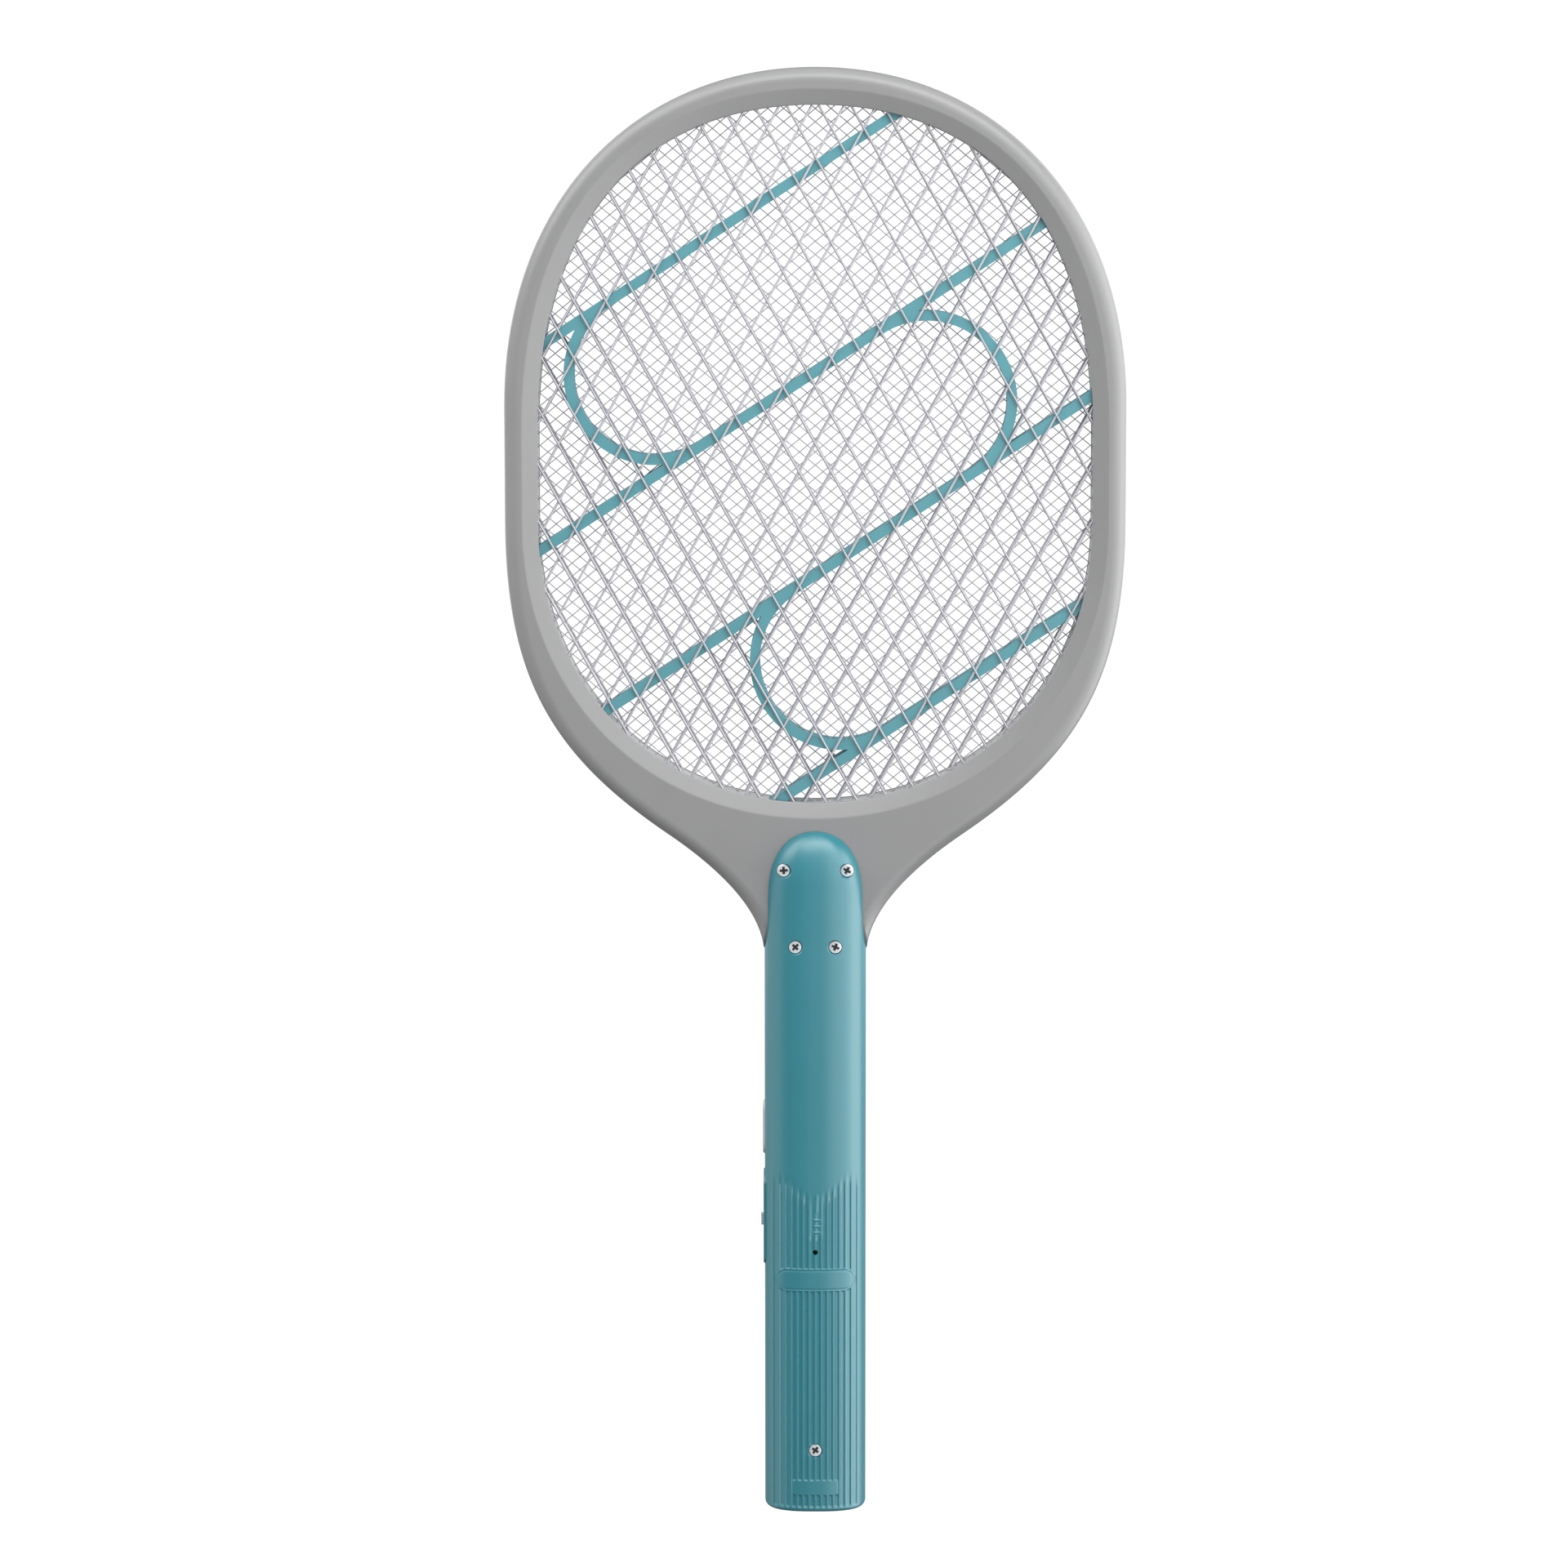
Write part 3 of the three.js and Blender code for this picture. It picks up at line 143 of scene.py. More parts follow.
SCREW_PLACES = (
    ("screw_neck_upper_left", -10.9, 225.7),
    ("screw_neck_upper_right", 10.9, 225.7),
    ("screw_neck_lower_left", -6.9, 199.3),
    ("screw_neck_lower_right", 6.9, 199.3),
    ("screw_handle_end", 0, 22),
)
SCREW_HEAD_RADIUS = 2.1  # as in the CAD part; it sizes the holes
SCREW_LOOK_RADIUS = 2.3  # the head as drawn here
SCREW_HEAD_HEIGHT = 2
RECESS_REACH = 1.55
RECESS_HALF_WIDTH = 0.5
RECESS_DEPTH = 1.35
RECESS_DEGREES_PER_MM = 18  # turns each screw by where it stands, so no two match
SCREW_SHANK_RADIUS = 1.1
SCREW_SUNK = 0.5
BOSS_RADIUS = 3.4
BOSS_TOUCHES_NECK_Z = 190
INDICATOR_RADIUS = 0.8

# ---------- relief that only the looks have ----------

FLUTE_PITCH = 2.12
FLUTE_COUNT = 14
FLUTE_WIDTH = 1.7
FLUTE_DEPTH = 0.5
FLUTE_TOP_MIDDLE_Z = 113
FLUTE_TOP_SIDE_Z = 120.5
FLUTE_BOTTOM_Z = 2.2
LABEL_LOW_Z = 79
LABEL_HIGH_Z = 86.1
LABEL_HALF_WIDTH = 13.3
PATCH_LOW_Z = 6
PATCH_HIGH_Z = 11.5
PATCH_HALF_WIDTH = 7.9
SMOOTH_HALF_WIDTH = 2.6  # the flutes fade here, round the bars and the stroke
SMOOTH_LOW_Z = 98
SMOOTH_HIGH_Z = 112.6
MARKS_X = 0.5
BAR_HEIGHTS = (99.4, 101.6, 103.8)
BAR_HALF_WIDTH = 1.2
BAR_HALF_HEIGHT = 0.32
BAR_RISE = 0.2
STROKE_HALF_WIDTH = 0.45
STROKE_LOW_Z = 106.5
STROKE_HIGH_Z = 112.3
STROKE_RISE = 0.14


# ---------- materials ----------


def new_material(name):
    material = bpy.data.materials.new(name)
    material.use_nodes = True
    shader = material.node_tree.nodes["Principled BSDF"]
    return material, shader, material.node_tree


def plastic(name, color, roughness, grain=0.02, grain_scale=2600, ior=1.5, mottle=0.04):
    """Moulded plastic: a fine spark-eroded grain, a slight mottle in the colour and the gloss."""
    material, shader, tree = new_material(name)
    nodes, links = tree.nodes, tree.links
    shader.inputs["Roughness"].default_value = roughness
    shader.inputs["IOR"].default_value = ior
    place = nodes.new("ShaderNodeTexCoord")
    broad = nodes.new("ShaderNodeTexNoise")
    broad.inputs["Scale"].default_value = 55
    broad.inputs["Detail"].default_value = 3
    links.new(place.outputs["Object"], broad.inputs["Vector"])
    tint = nodes.new("ShaderNodeMix")
    tint.data_type = "RGBA"
    tint.inputs["A"].default_value = (*[c * (1 - mottle) for c in color], 1)
    tint.inputs["B"].default_value = (*[min(c * (1 + mottle), 1) for c in color], 1)
    links.new(broad.outputs["Fac"], tint.inputs["Factor"])
    links.new(tint.outputs["Result"], shader.inputs["Base Color"])
    gloss = nodes.new("ShaderNodeMapRange")
    gloss.inputs["To Min"].default_value = roughness - 0.03
    gloss.inputs["To Max"].default_value = roughness + 0.03
    links.new(broad.outputs["Fac"], gloss.inputs["Value"])
    links.new(gloss.outputs["Result"], shader.inputs["Roughness"])
    fine = nodes.new("ShaderNodeTexNoise")
    fine.inputs["Scale"].default_value = grain_scale
    fine.inputs["Detail"].default_value = 2
    links.new(place.outputs["Object"], fine.inputs["Vector"])
    bump = nodes.new("ShaderNodeBump")
    bump.inputs["Strength"].default_value = grain
    bump.inputs["Distance"].default_value = 0.0002
    links.new(fine.outputs["Fac"], bump.inputs["Height"])
    links.new(bump.outputs["Normal"], shader.inputs["Normal"])
    return material


def metal(name, color, roughness, stretch=(1, 1, 1), streak=0.05, metallic=1.0):
    """Metal with fine drawn or brushed streaks in its gloss."""
    material, shader, tree = new_material(name)
    nodes, links = tree.nodes, tree.links
    shader.inputs["Metallic"].default_value = metallic
    place = nodes.new("ShaderNodeTexCoord")
    mapping = nodes.new("ShaderNodeMapping")
    mapping.inputs["Scale"].default_value = stretch
    links.new(place.outputs["Object"], mapping.inputs["Vector"])
    noise = nodes.new("ShaderNodeTexNoise")
    noise.inputs["Scale"].default_value = 900
    noise.inputs["Detail"].default_value = 2
    links.new(mapping.outputs["Vector"], noise.inputs["Vector"])
    gloss = nodes.new("ShaderNodeMapRange")
    gloss.inputs["To Min"].default_value = max(roughness - streak, 0.02)
    gloss.inputs["To Max"].default_value = roughness + streak
    links.new(noise.outputs["Fac"], gloss.inputs["Value"])
    links.new(gloss.outputs["Result"], shader.inputs["Roughness"])
    tint = nodes.new("ShaderNodeMix")
    tint.data_type = "RGBA"
    tint.inputs["A"].default_value = (*[c * 0.93 for c in color], 1)
    tint.inputs["B"].default_value = (*color, 1)
    links.new(noise.outputs["Fac"], tint.inputs["Factor"])
    links.new(tint.outputs["Result"], shader.inputs["Base Color"])
    return material


TEAL = plastic("teal_plastic", (0.004, 0.215, 0.27), 0.36, ior=2.0)
TEAL_RIB = plastic("teal_rib_plastic", (0.09, 0.32, 0.37), 0.45, ior=1.7)
PALE_GREY = plastic("pale_grey_plastic", (0.62, 0.622, 0.628), 0.45)
GREY = plastic("grey_plastic", (0.27, 0.271, 0.275), 0.38, ior=1.8)
PALE = plastic("pale_key_plastic", (0.62, 0.635, 0.65), 0.35)
BLACK = plastic("black_plastic", (0.02, 0.02, 0.022), 0.45)
SMOKED = plastic("smoked_window", (0.001, 0.001, 0.0015), 0.35, grain=0, ior=1.2)
BOARD = plastic("board_mask", (0.02, 0.15, 0.05), 0.35, grain=0.05, grain_scale=900, mottle=0.2)
FERRITE = plastic("ferrite", (0.035, 0.034, 0.036), 0.6, grain=0.2, grain_scale=1500)
TAPE = plastic("yellow_tape", (0.75, 0.5, 0.06), 0.3, grain=0.05)
FILM = plastic("dipped_film", (0.42, 0.05, 0.03), 0.25, grain=0.03)
SLEEVE = plastic("cell_sleeve", (0.05, 0.17, 0.45), 0.25, grain=0.02)
RED = plastic("red_insulation", (0.5, 0.03, 0.02), 0.4)
WIRE = metal("net_wire", (0.56, 0.55, 0.585), 0.36, metallic=0.7)
MESH_WIRE = metal("fine_net_wire", (0.5, 0.485, 0.525), 0.4, metallic=0.6)
STEEL = metal("plated_steel", (0.75, 0.76, 0.78), 0.14, streak=0.06)
SCREW_STEEL = metal("screw_plating", (0.93, 0.95, 0.98), 0.26, streak=0.03, metallic=0.5)
BRASS = metal("brass", (0.78, 0.58, 0.25), 0.3, stretch=(1, 1, 12))

CAD_LOOKS = {
    "circuit_board": BOARD,
    "battery_cell": SLEEVE,
    "transformer_core": FERRITE,
    "transformer_winding": TAPE,
    "bleeder_resistor": TAPE,
    "indicator_led": PALE,
    "slide_switch_actuator": BLACK,
    "tact_switch_plunger": BLACK,
    "battery_lead_negative": BLACK,
    "battery_lead_positive": RED,
    "slide_switch_body": STEEL,
    "tact_switch_body": STEEL,
    "board_screw_lower": STEEL,
    "board_screw_upper": STEEL,
    "battery_tab_positive": STEEL,
    "battery_tab_negative": STEEL,
}
CAD_LOOK_PREFIXES = {
    "hv_capacitor": FILM,
    "hv_diode": BLACK,
    "hv_lead": RED,
    "net_contact": BRASS,
}


def look_of(node):
    for prefix, material in CAD_LOOK_PREFIXES.items():
        if node.startswith(prefix):
            return material
    return CAD_LOOKS.get(node)


for node_name, node_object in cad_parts.items():
    if look_of(node_name):
        node_object.data.materials.clear()
        node_object.data.materials.append(look_of(node_name))


# ---------- mesh helpers ----------


def new_object(name, points, faces):
    """An object from points in millimetres, with its faces turned outwards."""
    mesh = bpy.data.meshes.new(name)
    mesh.from_pydata([tuple(c * MM for c in p) for p in points], [], faces)
    shape = bmesh.new()
    shape.from_mesh(mesh)
    bmesh.ops.recalc_face_normals(shape, faces=shape.faces)
    if shape.calc_volume(signed=True) < 0:
        bmesh.ops.reverse_faces(shape, faces=shape.faces)
    shape.to_mesh(mesh)
    shape.free()
    made = bpy.data.objects.new(name, mesh)
    bpy.context.scene.collection.objects.link(made)
    return made


def bake(piece):
    """Applies every modifier of a piece."""
    evaluated = piece.evaluated_get(bpy.context.evaluated_depsgraph_get())
    mesh = bpy.data.meshes.new_from_object(evaluated)
    piece.modifiers.clear()
    old = piece.data
    piece.data = mesh
    bpy.data.meshes.remove(old)
    return piece


def discard(piece):
    mesh = piece.data
    bpy.data.objects.remove(piece)
    bpy.data.meshes.remove(mesh)


def combine(piece, others, operation):
    """One boolean after another with each of the others, which are used up."""
    for other in others:
        step = piece.modifiers.new("step", "BOOLEAN")
        step.operation = operation
        step.solver = "MANIFOLD"
        step.object = other
    bake(piece)
    for other in others:
        discard(other)
    return piece


def cut(piece, *others):
    return combine(piece, others, "DIFFERENCE")


def keep_inside(piece, *others):
    return combine(piece, others, "INTERSECT")


def add(piece, *others):
    return combine(piece, others, "UNION")


def round_edges(piece, width, angle=35, segments=2):
    """Rounds every edge sharper than an angle."""
    bevel = piece.modifiers.new("round", "BEVEL")
    bevel.width = width * MM
    bevel.segments = segments
    bevel.limit_method = "ANGLE"
    bevel.angle_limit = math.radians(angle)
    bevel.harden_normals = False
    return bake(piece)


def shade(piece, angle=35):
    """Smooth shading that stays crisp at edges sharper than an angle."""
    piece.data.shade_smooth()
    piece.data.set_sharp_from_angle(angle=math.radians(angle))
    weighted = piece.modifiers.new("weighted_normals", "WEIGHTED_NORMAL")
    weighted.keep_sharp = True
    return bake(piece)


def finish_piece(piece, name, material, nodes, body="swatter", angle=35):
    piece.name = name
    piece.data.name = name
    piece.data.materials.clear()
    piece.data.materials.append(material)
    shade(piece, angle)
    if nodes:
        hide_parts(*nodes)
    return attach(piece, body)


def box(low, high):
    """A block between two opposite corners."""
    xs, ys, zs = zip(low, high)
    points = [(x, y, z) for x in xs for y in ys for z in zs]
    faces = [(0, 1, 3, 2), (4, 6, 7, 5), (0, 4, 5, 1), (2, 3, 7, 6), (0, 2, 6, 4), (1, 5, 7, 3)]
    return new_object("box", points, faces)


def skin(loops, closed):
    """Quads between loops of equal length. Closed also joins the last loop to the first."""
    count = len(loops[0])
    faces = []
    for band in range(len(loops) if closed else len(loops) - 1):
        here = band * count
        ahead = ((band + 1) % len(loops)) * count
        for i in range(count):
            j = (i + 1) % count
            faces.append((here + i, here + j, ahead + j, ahead + i))
    return faces


def ring(loops):
    points = [p for loop in loops for p in loop]
    return new_object("ring", points, skin(loops, True))


def loft(loops):
    """A solid through a stack of loops, with a flat face at each end."""
    count = len(loops[0])
    points = [p for loop in loops for p in loop]
    faces = skin(loops, False)
    faces.append(tuple(reversed(range(count))))
    faces.append(tuple(range(len(points) - count, len(points))))
    return new_object("loft", points, faces)


def slab(outline, low, high):
    """An outline in x and z, extruded from y = low to y = high."""
    return loft([[(x, y, z) for x, z in outline] for y in (low, high)])


def side_slab(outline, low, high):
    """An outline in y and z, extruded from x = low to x = high."""
    return loft([[(x, y, z) for y, z in outline] for x in (low, high)])


def rod(radius, start, end, sides=32):
    """A round rod between two points."""
    start, end = Vector(start), Vector(end)
    turn = (end - start).to_track_quat("Z", "Y").to_matrix()
    loops = []
    for middle in (start, end):
        loop = []
        for i in range(sides):
            angle = 2 * math.pi * i / sides
            offset = turn @ Vector((radius * math.cos(angle), radius * math.sin(angle), 0))
            loop.append(tuple(middle + offset))
        loops.append(loop)
    return loft(loops)


def turned(profile, sides=40):
    """A solid turned about the Y axis from (radius, y) pairs; radius 0 is a closed tip."""
    points = []
    loops = []
    for radius, y in profile:
        if radius == 0:
            loops.append([len(points)] * sides)
            points.append((0, y, 0))
            continue
        loops.append([len(points) + i for i in range(sides)])
        for i in range(sides):
            angle = 2 * math.pi * i / sides
            points.append((radius * math.cos(angle), y, radius * math.sin(angle)))
    faces = []
    for here, ahead in zip(loops, loops[1:]):
        for i in range(sides):
            j = (i + 1) % sides
            corners = [here[i], here[j], ahead[j], ahead[i]]
            faces.append(tuple(dict.fromkeys(corners)))
    return new_object("turned", points, faces)


def stadium(middle, length, half, steps=14):
    """An upright stadium in y and z."""
    reach = length / 2 - half
    outline = []
    for start, centre in ((0, middle + reach), (math.pi, middle - reach)):
        for i in range(steps + 1):
            angle = start + math.pi * i / steps
            outline.append((half * math.cos(angle), centre + half * math.sin(angle)))
    return outline


def smooth_step(value, low, high):
    """0 below low, 1 above high, eased between."""
    t = min(max((value - low) / (high - low), 0), 1)
    return t * t * (3 - 2 * t)


# ---------- head outlines ----------


def bezier(a, b, c, d, steps):
    points = []
    for i in range(1, steps + 1):
        t = i / steps
        s = 1 - t
        points.append(a * s**3 + b * (3 * s * s * t) + c * (3 * s * t * t) + d * t**3)
    return points


def straight(a, b, steps):
    return [a.lerp(b, i / steps) for i in range(1, steps + 1)]


def outer_edge():
    """Right half of the frame's outer edge, from the top down to the insert's foot."""
    sweep = Vector((math.cos(NECK_TURN_ANGLE), math.sin(NECK_TURN_ANGLE)))
    wide = HEAD_HALF_WIDTH
    top = Vector((0, HEAD_TOP_Z))
    side_top = Vector((wide, HEAD_SIDE_TOP_Z))
    side_bottom = Vector((wide, HEAD_SIDE_BOTTOM_Z))
    neck = Vector((NECK_HALF_WIDTH, NECK_BOTTOM_Z))
    foot = Vector((NECK_HALF_WIDTH, INSERT_BOTTOM_Z))
    path = [top]
    crown = Vector((HEAD_TOP_PULL, HEAD_TOP_Z))
    shoulder = Vector((wide, HEAD_TOP_Z - HEAD_SHOULDER_PULL))
    path += bezier(top, crown, shoulder, side_top, 44)
    path += straight(side_top, side_bottom, 8)
    hip = Vector((wide, HEAD_SIDE_BOTTOM_Z - HEAD_HIP_PULL))
    path += bezier(side_bottom, hip, NECK_TURN + sweep * NECK_TURN_PULL_UP, NECK_TURN, 40)
    waist = Vector((NECK_HALF_WIDTH, NECK_BOTTOM_Z + NECK_WAIST_PULL))
    path += bezier(NECK_TURN, NECK_TURN - sweep * NECK_TURN_PULL_DOWN, waist, neck, 24)
    path.append(foot)
    path += straight(foot, Vector((0, INSERT_BOTTOM_Z)), 3)
    return path


def opening_edge():
    """Right half of the opening's edge, from the top down."""
    wide = OPENING_HALF_WIDTH
    top = Vector((0, OPENING_TOP_Z))
    side_top = Vector((wide, OPENING_SIDE_TOP_Z))
    side_bottom = Vector((wide, OPENING_SIDE_BOTTOM_Z))
    bottom = Vector((0, OPENING_BOTTOM_Z))
    path = [top]
    crown = Vector((OPENING_TOP_PULL, OPENING_TOP_Z))
    shoulder = Vector((wide, OPENING_TOP_Z - OPENING_SHOULDER_PULL))
    path += bezier(top, crown, shoulder, side_top, 60)
    path += straight(side_top, side_bottom, 8)
    hip = Vector((wide, OPENING_SIDE_BOTTOM_Z - OPENING_HIP_PULL))
    path += bezier(side_bottom, hip, Vector((OPENING_BOTTOM_PULL, OPENING_BOTTOM_Z)), bottom, 60)
    return path


def whole_loop(half):
    return half + [Vector((-p.x, p.y)) for p in reversed(half[1:-1])]


def inset(loop, distance):
    """Each point of a clockwise loop moved inwards along the mean normal of its two edges."""
    moved = []
    for i, point in enumerate(loop):
        first = (point - loop[i - 1]).normalized()
        second = (loop[(i + 1) % len(loop)] - point).normalized()
        mean = (first + second).normalized()
        stretch = 1 / max(mean.dot(first), 0.5)
        inwards = Vector((mean.y, -mean.x))
        moved.append(point + inwards * distance * stretch)
    return moved


OUTER_LOOP = whole_loop(outer_edge())
OPENING_LOOP = whole_loop(opening_edge())
HEAD_MIDDLE = Vector((0, (OPENING_TOP_Z + OPENING_BOTTOM_Z) / 2))


def cast_onto(loop, towards):
    """The point of a loop in the same direction from the head's middle as a given point."""
    ray = (towards - HEAD_MIDDLE).normalized()
    for a, b in zip(loop, loop[1:] + loop[:1]):
        a, b = a - HEAD_MIDDLE, b - HEAD_MIDDLE
        side_a = ray.x * a.y - ray.y * a.x
        side_b = ray.x * b.y - ray.y * b.x
        if side_a * side_b <= 0 and side_a != side_b:
            point = a.lerp(b, side_a / (side_a - side_b))
            if point.dot(ray) > 0:
                return point + HEAD_MIDDLE
    raise ValueError("the head's middle lies outside the loop")


def opening_grown(distance):
    grown = inset(OPENING_LOOP, -distance)
    return [cast_onto(grown, p) for p in OUTER_LOOP]


def at_depth(loop, y):
    return [(p.x, y, p.y) for p in loop]


# ---------- handle ----------

TONGUE_START_Z = TONGUE_TOP_Z - TONGUE_ARCH


def arch_share(z):
    if z <= TONGUE_START_Z:
        return 1
    up = min((z - TONGUE_START_Z) / TONGUE_ARCH, 1)
    return (1 - up**TONGUE_SQUARENESS) ** (1 / TONGUE_SQUARENESS)


def tongue_depth(z):
    nose_start = TONGUE_TOP_Z - TONGUE_NOSE
    if z <= nose_start:
        return HANDLE_HALF_DEPTH
    up = min((z - nose_start) / TONGUE_NOSE, 1)
    return FRAME_HALF_DEPTH + (HANDLE_HALF_DEPTH - FRAME_HALF_DEPTH) * math.sqrt(1 - up * up)


def depth_on_section(share, half_depth):
    return half_depth * max(1 - abs(share) ** HANDLE_SQUARENESS, 0) ** (1 / HANDLE_SQUARENESS)


def surface_depth(x, z):
    return depth_on_section(x / (HANDLE_HALF_WIDTH * arch_share(z)), tongue_depth(z))


def groove(x):
    """Share of the flutes' depth at a place across the handle."""
    reach = FLUTE_COUNT / 2 * FLUTE_PITCH
    if abs(x) >= reach:
        return 0
    along = (x / FLUTE_PITCH) % 1
    off = abs(along - 0.5) * FLUTE_PITCH
    return 1 - smooth_step(off, FLUTE_WIDTH * 0.18, FLUTE_WIDTH * 0.5)


def plateau(x, z, half_width, low, high, corner, soft=0.22):
    """1 inside a rounded rectangle and 0 outside, with a soft edge."""
    middle, half_height = (low + high) / 2, (high - low) / 2
    over_x = abs(x) - (half_width - corner)
    over_z = abs(z - middle) - (half_height - corner)
    outside = math.hypot(max(over_x, 0), max(over_z, 0)) + min(max(over_x, over_z), 0) - corner
    return 1 - smooth_step(outside, -soft, soft)


def outline_band(x, z, half_width, low, high, corner, width):
    """1 on a thin line round a rounded rectangle."""
    outer = plateau(x, z, half_width, low, high, corner)
    inner = plateau(x, z, half_width - width, low + width, high - width, corner - width)
    return outer - inner


def relief(x, z, side):
    """How far the handle's face is lowered at a place.

    The flutes lower it, except on the label band and the patch. The bars and the stroke raise it.
    """
    top = FLUTE_TOP_MIDDLE_Z + (FLUTE_TOP_SIDE_Z - FLUTE_TOP_MIDDLE_Z) * smooth_step(abs(x), 1, 13)
    mask = 1 - smooth_step(z, top - 6, top + 1)
    mask *= smooth_step(z, FLUTE_BOTTOM_Z - 0.9, FLUTE_BOTTOM_Z + 0.3)
    depth = FLUTE_DEPTH * groove(x) * mask
    if side == FRONT:
        return depth
    label = plateau(x, z, LABEL_HALF_WIDTH + 0.5, LABEL_LOW_Z - 0.5, LABEL_HIGH_Z + 0.5, 4)
    patch = plateau(x, z, PATCH_HALF_WIDTH, PATCH_LOW_Z, PATCH_HIGH_Z, 0.8)
    depth *= 1 - max(label, patch)
    rim = outline_band(x, z, LABEL_HALF_WIDTH, LABEL_LOW_Z, LABEL_HIGH_Z, 3.5, 0.5)
    depth += 0.16 * rim + 0.05 * patch
    smooth = plateau(x, z, SMOOTH_HALF_WIDTH, SMOOTH_LOW_Z, SMOOTH_HIGH_Z, 0.6)
    depth *= 1 - 0.75 * smooth
    across = x - MARKS_X
    for height in BAR_HEIGHTS:
        low, high = height - BAR_HALF_HEIGHT, height + BAR_HALF_HEIGHT
        depth -= BAR_RISE * plateau(across, z, BAR_HALF_WIDTH, low, high, 0.3, 0.16)
    stroke = plateau(across, z, STROKE_HALF_WIDTH, STROKE_LOW_Z, STROKE_HIGH_Z, 0.4, 0.2)
    return depth - STROKE_RISE * stroke


def handle_stations():
    """Places round the handle's section: x as a share of the half width, and which face."""
    fluted = FLUTE_COUNT / 2 * FLUTE_PITCH / HANDLE_HALF_WIDTH
    across = int(FLUTE_COUNT * 9)
    shares = [fluted * (2 * i / across - 1) for i in range(across + 1)]
    corner = math.acos(fluted ** (HANDLE_SQUARENESS / 2))
    turns = [corner * i / 14 for i in range(14)]
    right = [math.cos(t) ** (2 / HANDLE_SQUARENESS) for t in turns]
    rear = [-s for s in right] + shares + list(reversed(right))
    rear = sorted(set(round(s, 6) for s in rear))
    stations = [(s, REAR) for s in rear]
    stations += [(s, FRONT) for s in reversed(rear[1:-1])]
    return stations


def handle_loop(half_width, half_depth, z, stations, with_relief):
    loop = []
    for share, side in stations:
        x = share * half_width
        y = depth_on_section(share, half_depth)
        if with_relief:
            y -= relief(x, z, side)
        loop.append((x, side * y, z))
    return loop


def spread(low, high, count):
    return [low + (high - low) * i / count for i in range(count + 1)]


def handle_heights():
    """Heights of the sections: close together where the relief or the tongue changes."""
    heights = spread(0.0, END_FILLET, 6) + spread(END_FILLET, 3.2, 7)
    heights += spread(PATCH_LOW_Z - 0.6, PATCH_LOW_Z + 1.1, 8)
    heights += spread(PATCH_HIGH_Z - 1.1, PATCH_HIGH_Z + 0.6, 8)
    heights += spread(LABEL_LOW_Z - 0.9, LABEL_HIGH_Z + 0.9, 44)
    heights += spread(98.6, 104.6, 34) + spread(105.4, 113.4, 12) + spread(96, 123, 22)
    heights += [40, 60, 140, 170, 190, 205, TONGUE_START_Z]
    arch = TONGUE_ARCH * 0.9995  # just short of the tip, where the section would close
    heights += [TONGUE_START_Z + arch * math.sin(math.pi / 2 * i / 30) for i in range(1, 31)]
    return sorted(set(round(z, 3) for z in heights))


def handle_outside():
    stations = handle_stations()
    loops = []
    for z in handle_heights():
        less = 0
        if z < END_FILLET:
            less = END_FILLET - math.sqrt(END_FILLET**2 - (END_FILLET - z) ** 2)
        width = HANDLE_HALF_WIDTH * arch_share(z) - less
        loops.append(handle_loop(width, tongue_depth(z) - less, z, stations, True))
    return loft(loops)


def handle_inside():
    stations = [s for i, s in enumerate(handle_stations()) if i % 3 == 0]
    loops = []
    for z in [END_WALL] + [h for h in handle_heights() if h > TONGUE_START_Z - 1]:
        if z < TONGUE_TOP_Z - 2 * HANDLE_WALL:
            width = HANDLE_HALF_WIDTH * arch_share(z + HANDLE_WALL) - HANDLE_WALL
            depth = tongue_depth(z + HANDLE_WALL) - HANDLE_WALL
            loops.append(handle_loop(width, depth, z, stations, False))
    return loft(loops)


def neck_room(clearance):
    """The room for the frame's neck seen from the side: a slot with a rounded foot."""
    half = FRAME_HALF_DEPTH + clearance
    outline = [(half, HEAD_TOP_Z + 1), (-half, HEAD_TOP_Z + 1)]
    steps = 28
    for i in range(steps + 1):
        angle = math.pi + math.pi * i / steps
        foot = (NECK_FOOT + clearance) * math.sin(angle)
        outline.append((half * math.cos(angle), SHOULDER_Z + foot))
    return outline


def screw_seat(x, z):
    return surface_depth(x, z) - SCREW_SUNK - SCREW_HEAD_HEIGHT


def along_y(piece, x, z):
    piece.data.transform(Matrix.Translation((x * MM, 0, z * MM)))
    return piece


def screw_cuts(side):
    cuts = []
    for _, x, z in SCREW_PLACES:
        seat = screw_seat(x, z)
        surface = surface_depth(x, z)
        shank = SCREW_SHANK_RADIUS + CLEARANCE
        if side == FRONT:
            cuts.append(rod(shank, (x, -1, z), (x, seat, z)))
            continue
        hole = SCREW_HEAD_RADIUS + CLEARANCE
        profile = [
            (0, 1),
            (shank, 1),
            (shank, -seat),
            (hole, -seat),
            (hole, -surface + 0.28),
            (hole + 0.3, -surface - 0.02),
            (hole + 0.3, -surface - 3),
            (0, -surface - 3),
        ]
        cuts.append(along_y(turned(profile), x, z))
    return cuts


def control_cuts():
    deep = -(HANDLE_HALF_WIDTH - HANDLE_WALL) + 4
    out = -HANDLE_HALF_WIDTH - 5
    plate = side_slab(plate_outline(-CLEARANCE), out, deep)
    fire = stadium(FIRE_Z, FIRE_LENGTH + 2 * CLEARANCE, FIRE_HALF_DEPTH + CLEARANCE)
    return [plate, side_slab(fire, out, deep)]


